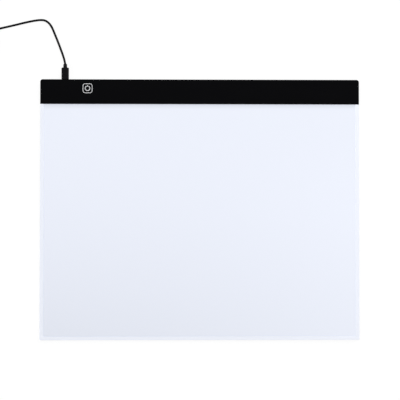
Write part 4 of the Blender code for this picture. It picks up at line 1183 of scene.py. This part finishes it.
class TRACINGPAD_OT_housing(Operator):
    """Finish the white moulding and its rim"""

    bl_idname = "tracing_pad.housing"
    bl_label = "Housing"

    def execute(self, context):
        white = glowing_moulding(context.scene.tracing_pad.colours)
        finer_copy("rear_cover", "housing", "pad", white)
        return {"FINISHED"}


class TRACINGPAD_OT_feet_and_screws(Operator):
    """Finish the rubber feet and the blackened screws under the pad"""

    bl_idname = "tracing_pad.feet_and_screws"
    bl_label = "Feet and screws"

    def execute(self, context):
        rubber = moulded("foot_rubber_grain", (0.05, 0.05, 0.052), 0.75, 0.0004, 0.00004)
        for number in (1, 2, 3, 4):
            finer_copy(f"foot_{number}", f"rubber_foot_{number}", "pad", rubber)
        steel = plated("blackened_screw", (0.20, 0.20, 0.21), 0.38)
        for number in (1, 2, 3, 4, 5, 6):
            finer_copy(f"bar_screw_{number}", f"screw_{number}", "pad", steel)
        return {"FINISHED"}


class TRACINGPAD_OT_light_stack(Operator):
    """Finish the sheets, tapes and LED strip inside the pad"""

    bl_idname = "tracing_pad.light_stack"
    bl_label = "Light stack"

    def execute(self, context):
        film = moulded("white_film", (0.90, 0.90, 0.90), 0.6, 0.0008, 0.000008, drift=0.03)
        paint_nodes(film, "reflector_sheet", "diffuser_sheet", "panel_tape")
        paint_nodes(film, "edge_tape_left", "edge_tape_right", "edge_tape_bottom")
        paint_nodes(clear_acrylic(), "light_guide_plate")
        paint_nodes(led_row(), "led_strip")
        paint_nodes(moulded("grey_tape", (0.68, 0.68, 0.69), 0.6, 0.0006, 0.00001), "strip_tape")
        black = moulded("black_tape", (0.012, 0.012, 0.013), 0.6, 0.0006, 0.00001, drift=0.15)
        paint_nodes(black, "light_shield_tape")
        return {"FINISHED"}


class TRACINGPAD_OT_electronics(Operator):
    """Finish the control board, its components, the socket and the wires"""

    bl_idname = "tracing_pad.electronics"
    bl_label = "Electronics"

    def execute(self, context):
        paint_nodes(solder_mask(), "control_board")
        paint_nodes(woven_foam(), "touch_electrode")
        chip = moulded("chip_resin", (0.02, 0.02, 0.022), 0.55, 0.0003, 0.00001, drift=0.2)
        paint_nodes(chip, "touch_chip", "dimmer_transistor")
        ochre = moulded("capacitor_ceramic", (0.55, 0.35, 0.09), 0.38, 0.0004, 0.00001)
        paint_nodes(ochre, "input_capacitor")
        steel = plated("nickel_socket", (0.62, 0.61, 0.60), 0.24)
        finer_copy("micro_usb_socket", "socket_shell", "pad", steel)
        black = moulded("socket_tongue_black", (0.015, 0.015, 0.016), 0.5, 0.0003, 0.00001)
        paint_nodes(black, "micro_usb_socket_tongue")
        paint_nodes(moulded("red_wire", (0.50, 0.03, 0.03), 0.4, 0.0004, 0.00001), "wire_positive")
        paint_nodes(
            moulded("black_wire", (0.02, 0.02, 0.02), 0.4, 0.0004, 0.00001), "wire_negative"
        )
        return {"FINISHED"}


class TRACINGPAD_PT_sidebar(Panel):
    """Buttons and settings of the tracing pad"""

    bl_idname = "TRACINGPAD_PT_sidebar"
    bl_label = "Tracing Pad"
    bl_space_type = "VIEW_3D"
    bl_region_type = "UI"
    bl_category = "Tracing Pad"

    def draw(self, context):
        settings = context.scene.tracing_pad
        for group in (settings.colours, settings.key, settings.cable, settings.stage):
            box = self.layout.box()
            for name in group.bl_rna.properties.keys():
                if name not in {"rna_type", "name"}:
                    box.prop(group, name)
        for operator in OPERATORS:
            self.layout.operator(operator.bl_idname)


OPERATORS = (
    TRACINGPAD_OT_stage,
    TRACINGPAD_OT_cord,
    TRACINGPAD_OT_small_plug,
    TRACINGPAD_OT_large_plug,
    TRACINGPAD_OT_twist_tie,
    TRACINGPAD_OT_declare_cord,
    TRACINGPAD_OT_control_bar,
    TRACINGPAD_OT_key_print,
    TRACINGPAD_OT_light_panel,
    TRACINGPAD_OT_housing,
    TRACINGPAD_OT_feet_and_screws,
    TRACINGPAD_OT_light_stack,
    TRACINGPAD_OT_electronics,
)
GROUPS = (PadColours, KeySizes, CableSizes, StageSettings, TracingPadSettings)


def register():
    for group in (*GROUPS, *OPERATORS, TRACINGPAD_PT_sidebar):
        bpy.utils.register_class(group)
    bpy.types.Scene.tracing_pad = PointerProperty(type=TracingPadSettings)


def unregister():
    del bpy.types.Scene.tracing_pad
    for group in reversed((*GROUPS, *OPERATORS, TRACINGPAD_PT_sidebar)):
        bpy.utils.unregister_class(group)


def main():
    register()
    bpy.ops.tracing_pad.stage()
    bpy.ops.tracing_pad.cord()
    bpy.ops.tracing_pad.small_plug()
    bpy.ops.tracing_pad.large_plug()
    bpy.ops.tracing_pad.twist_tie()
    bpy.ops.tracing_pad.declare_cord()
    bpy.ops.tracing_pad.control_bar()
    bpy.ops.tracing_pad.key_print()
    bpy.ops.tracing_pad.light_panel()
    bpy.ops.tracing_pad.housing()
    bpy.ops.tracing_pad.feet_and_screws()
    bpy.ops.tracing_pad.light_stack()
    bpy.ops.tracing_pad.electronics()


if __name__ == "__main__":
    main()
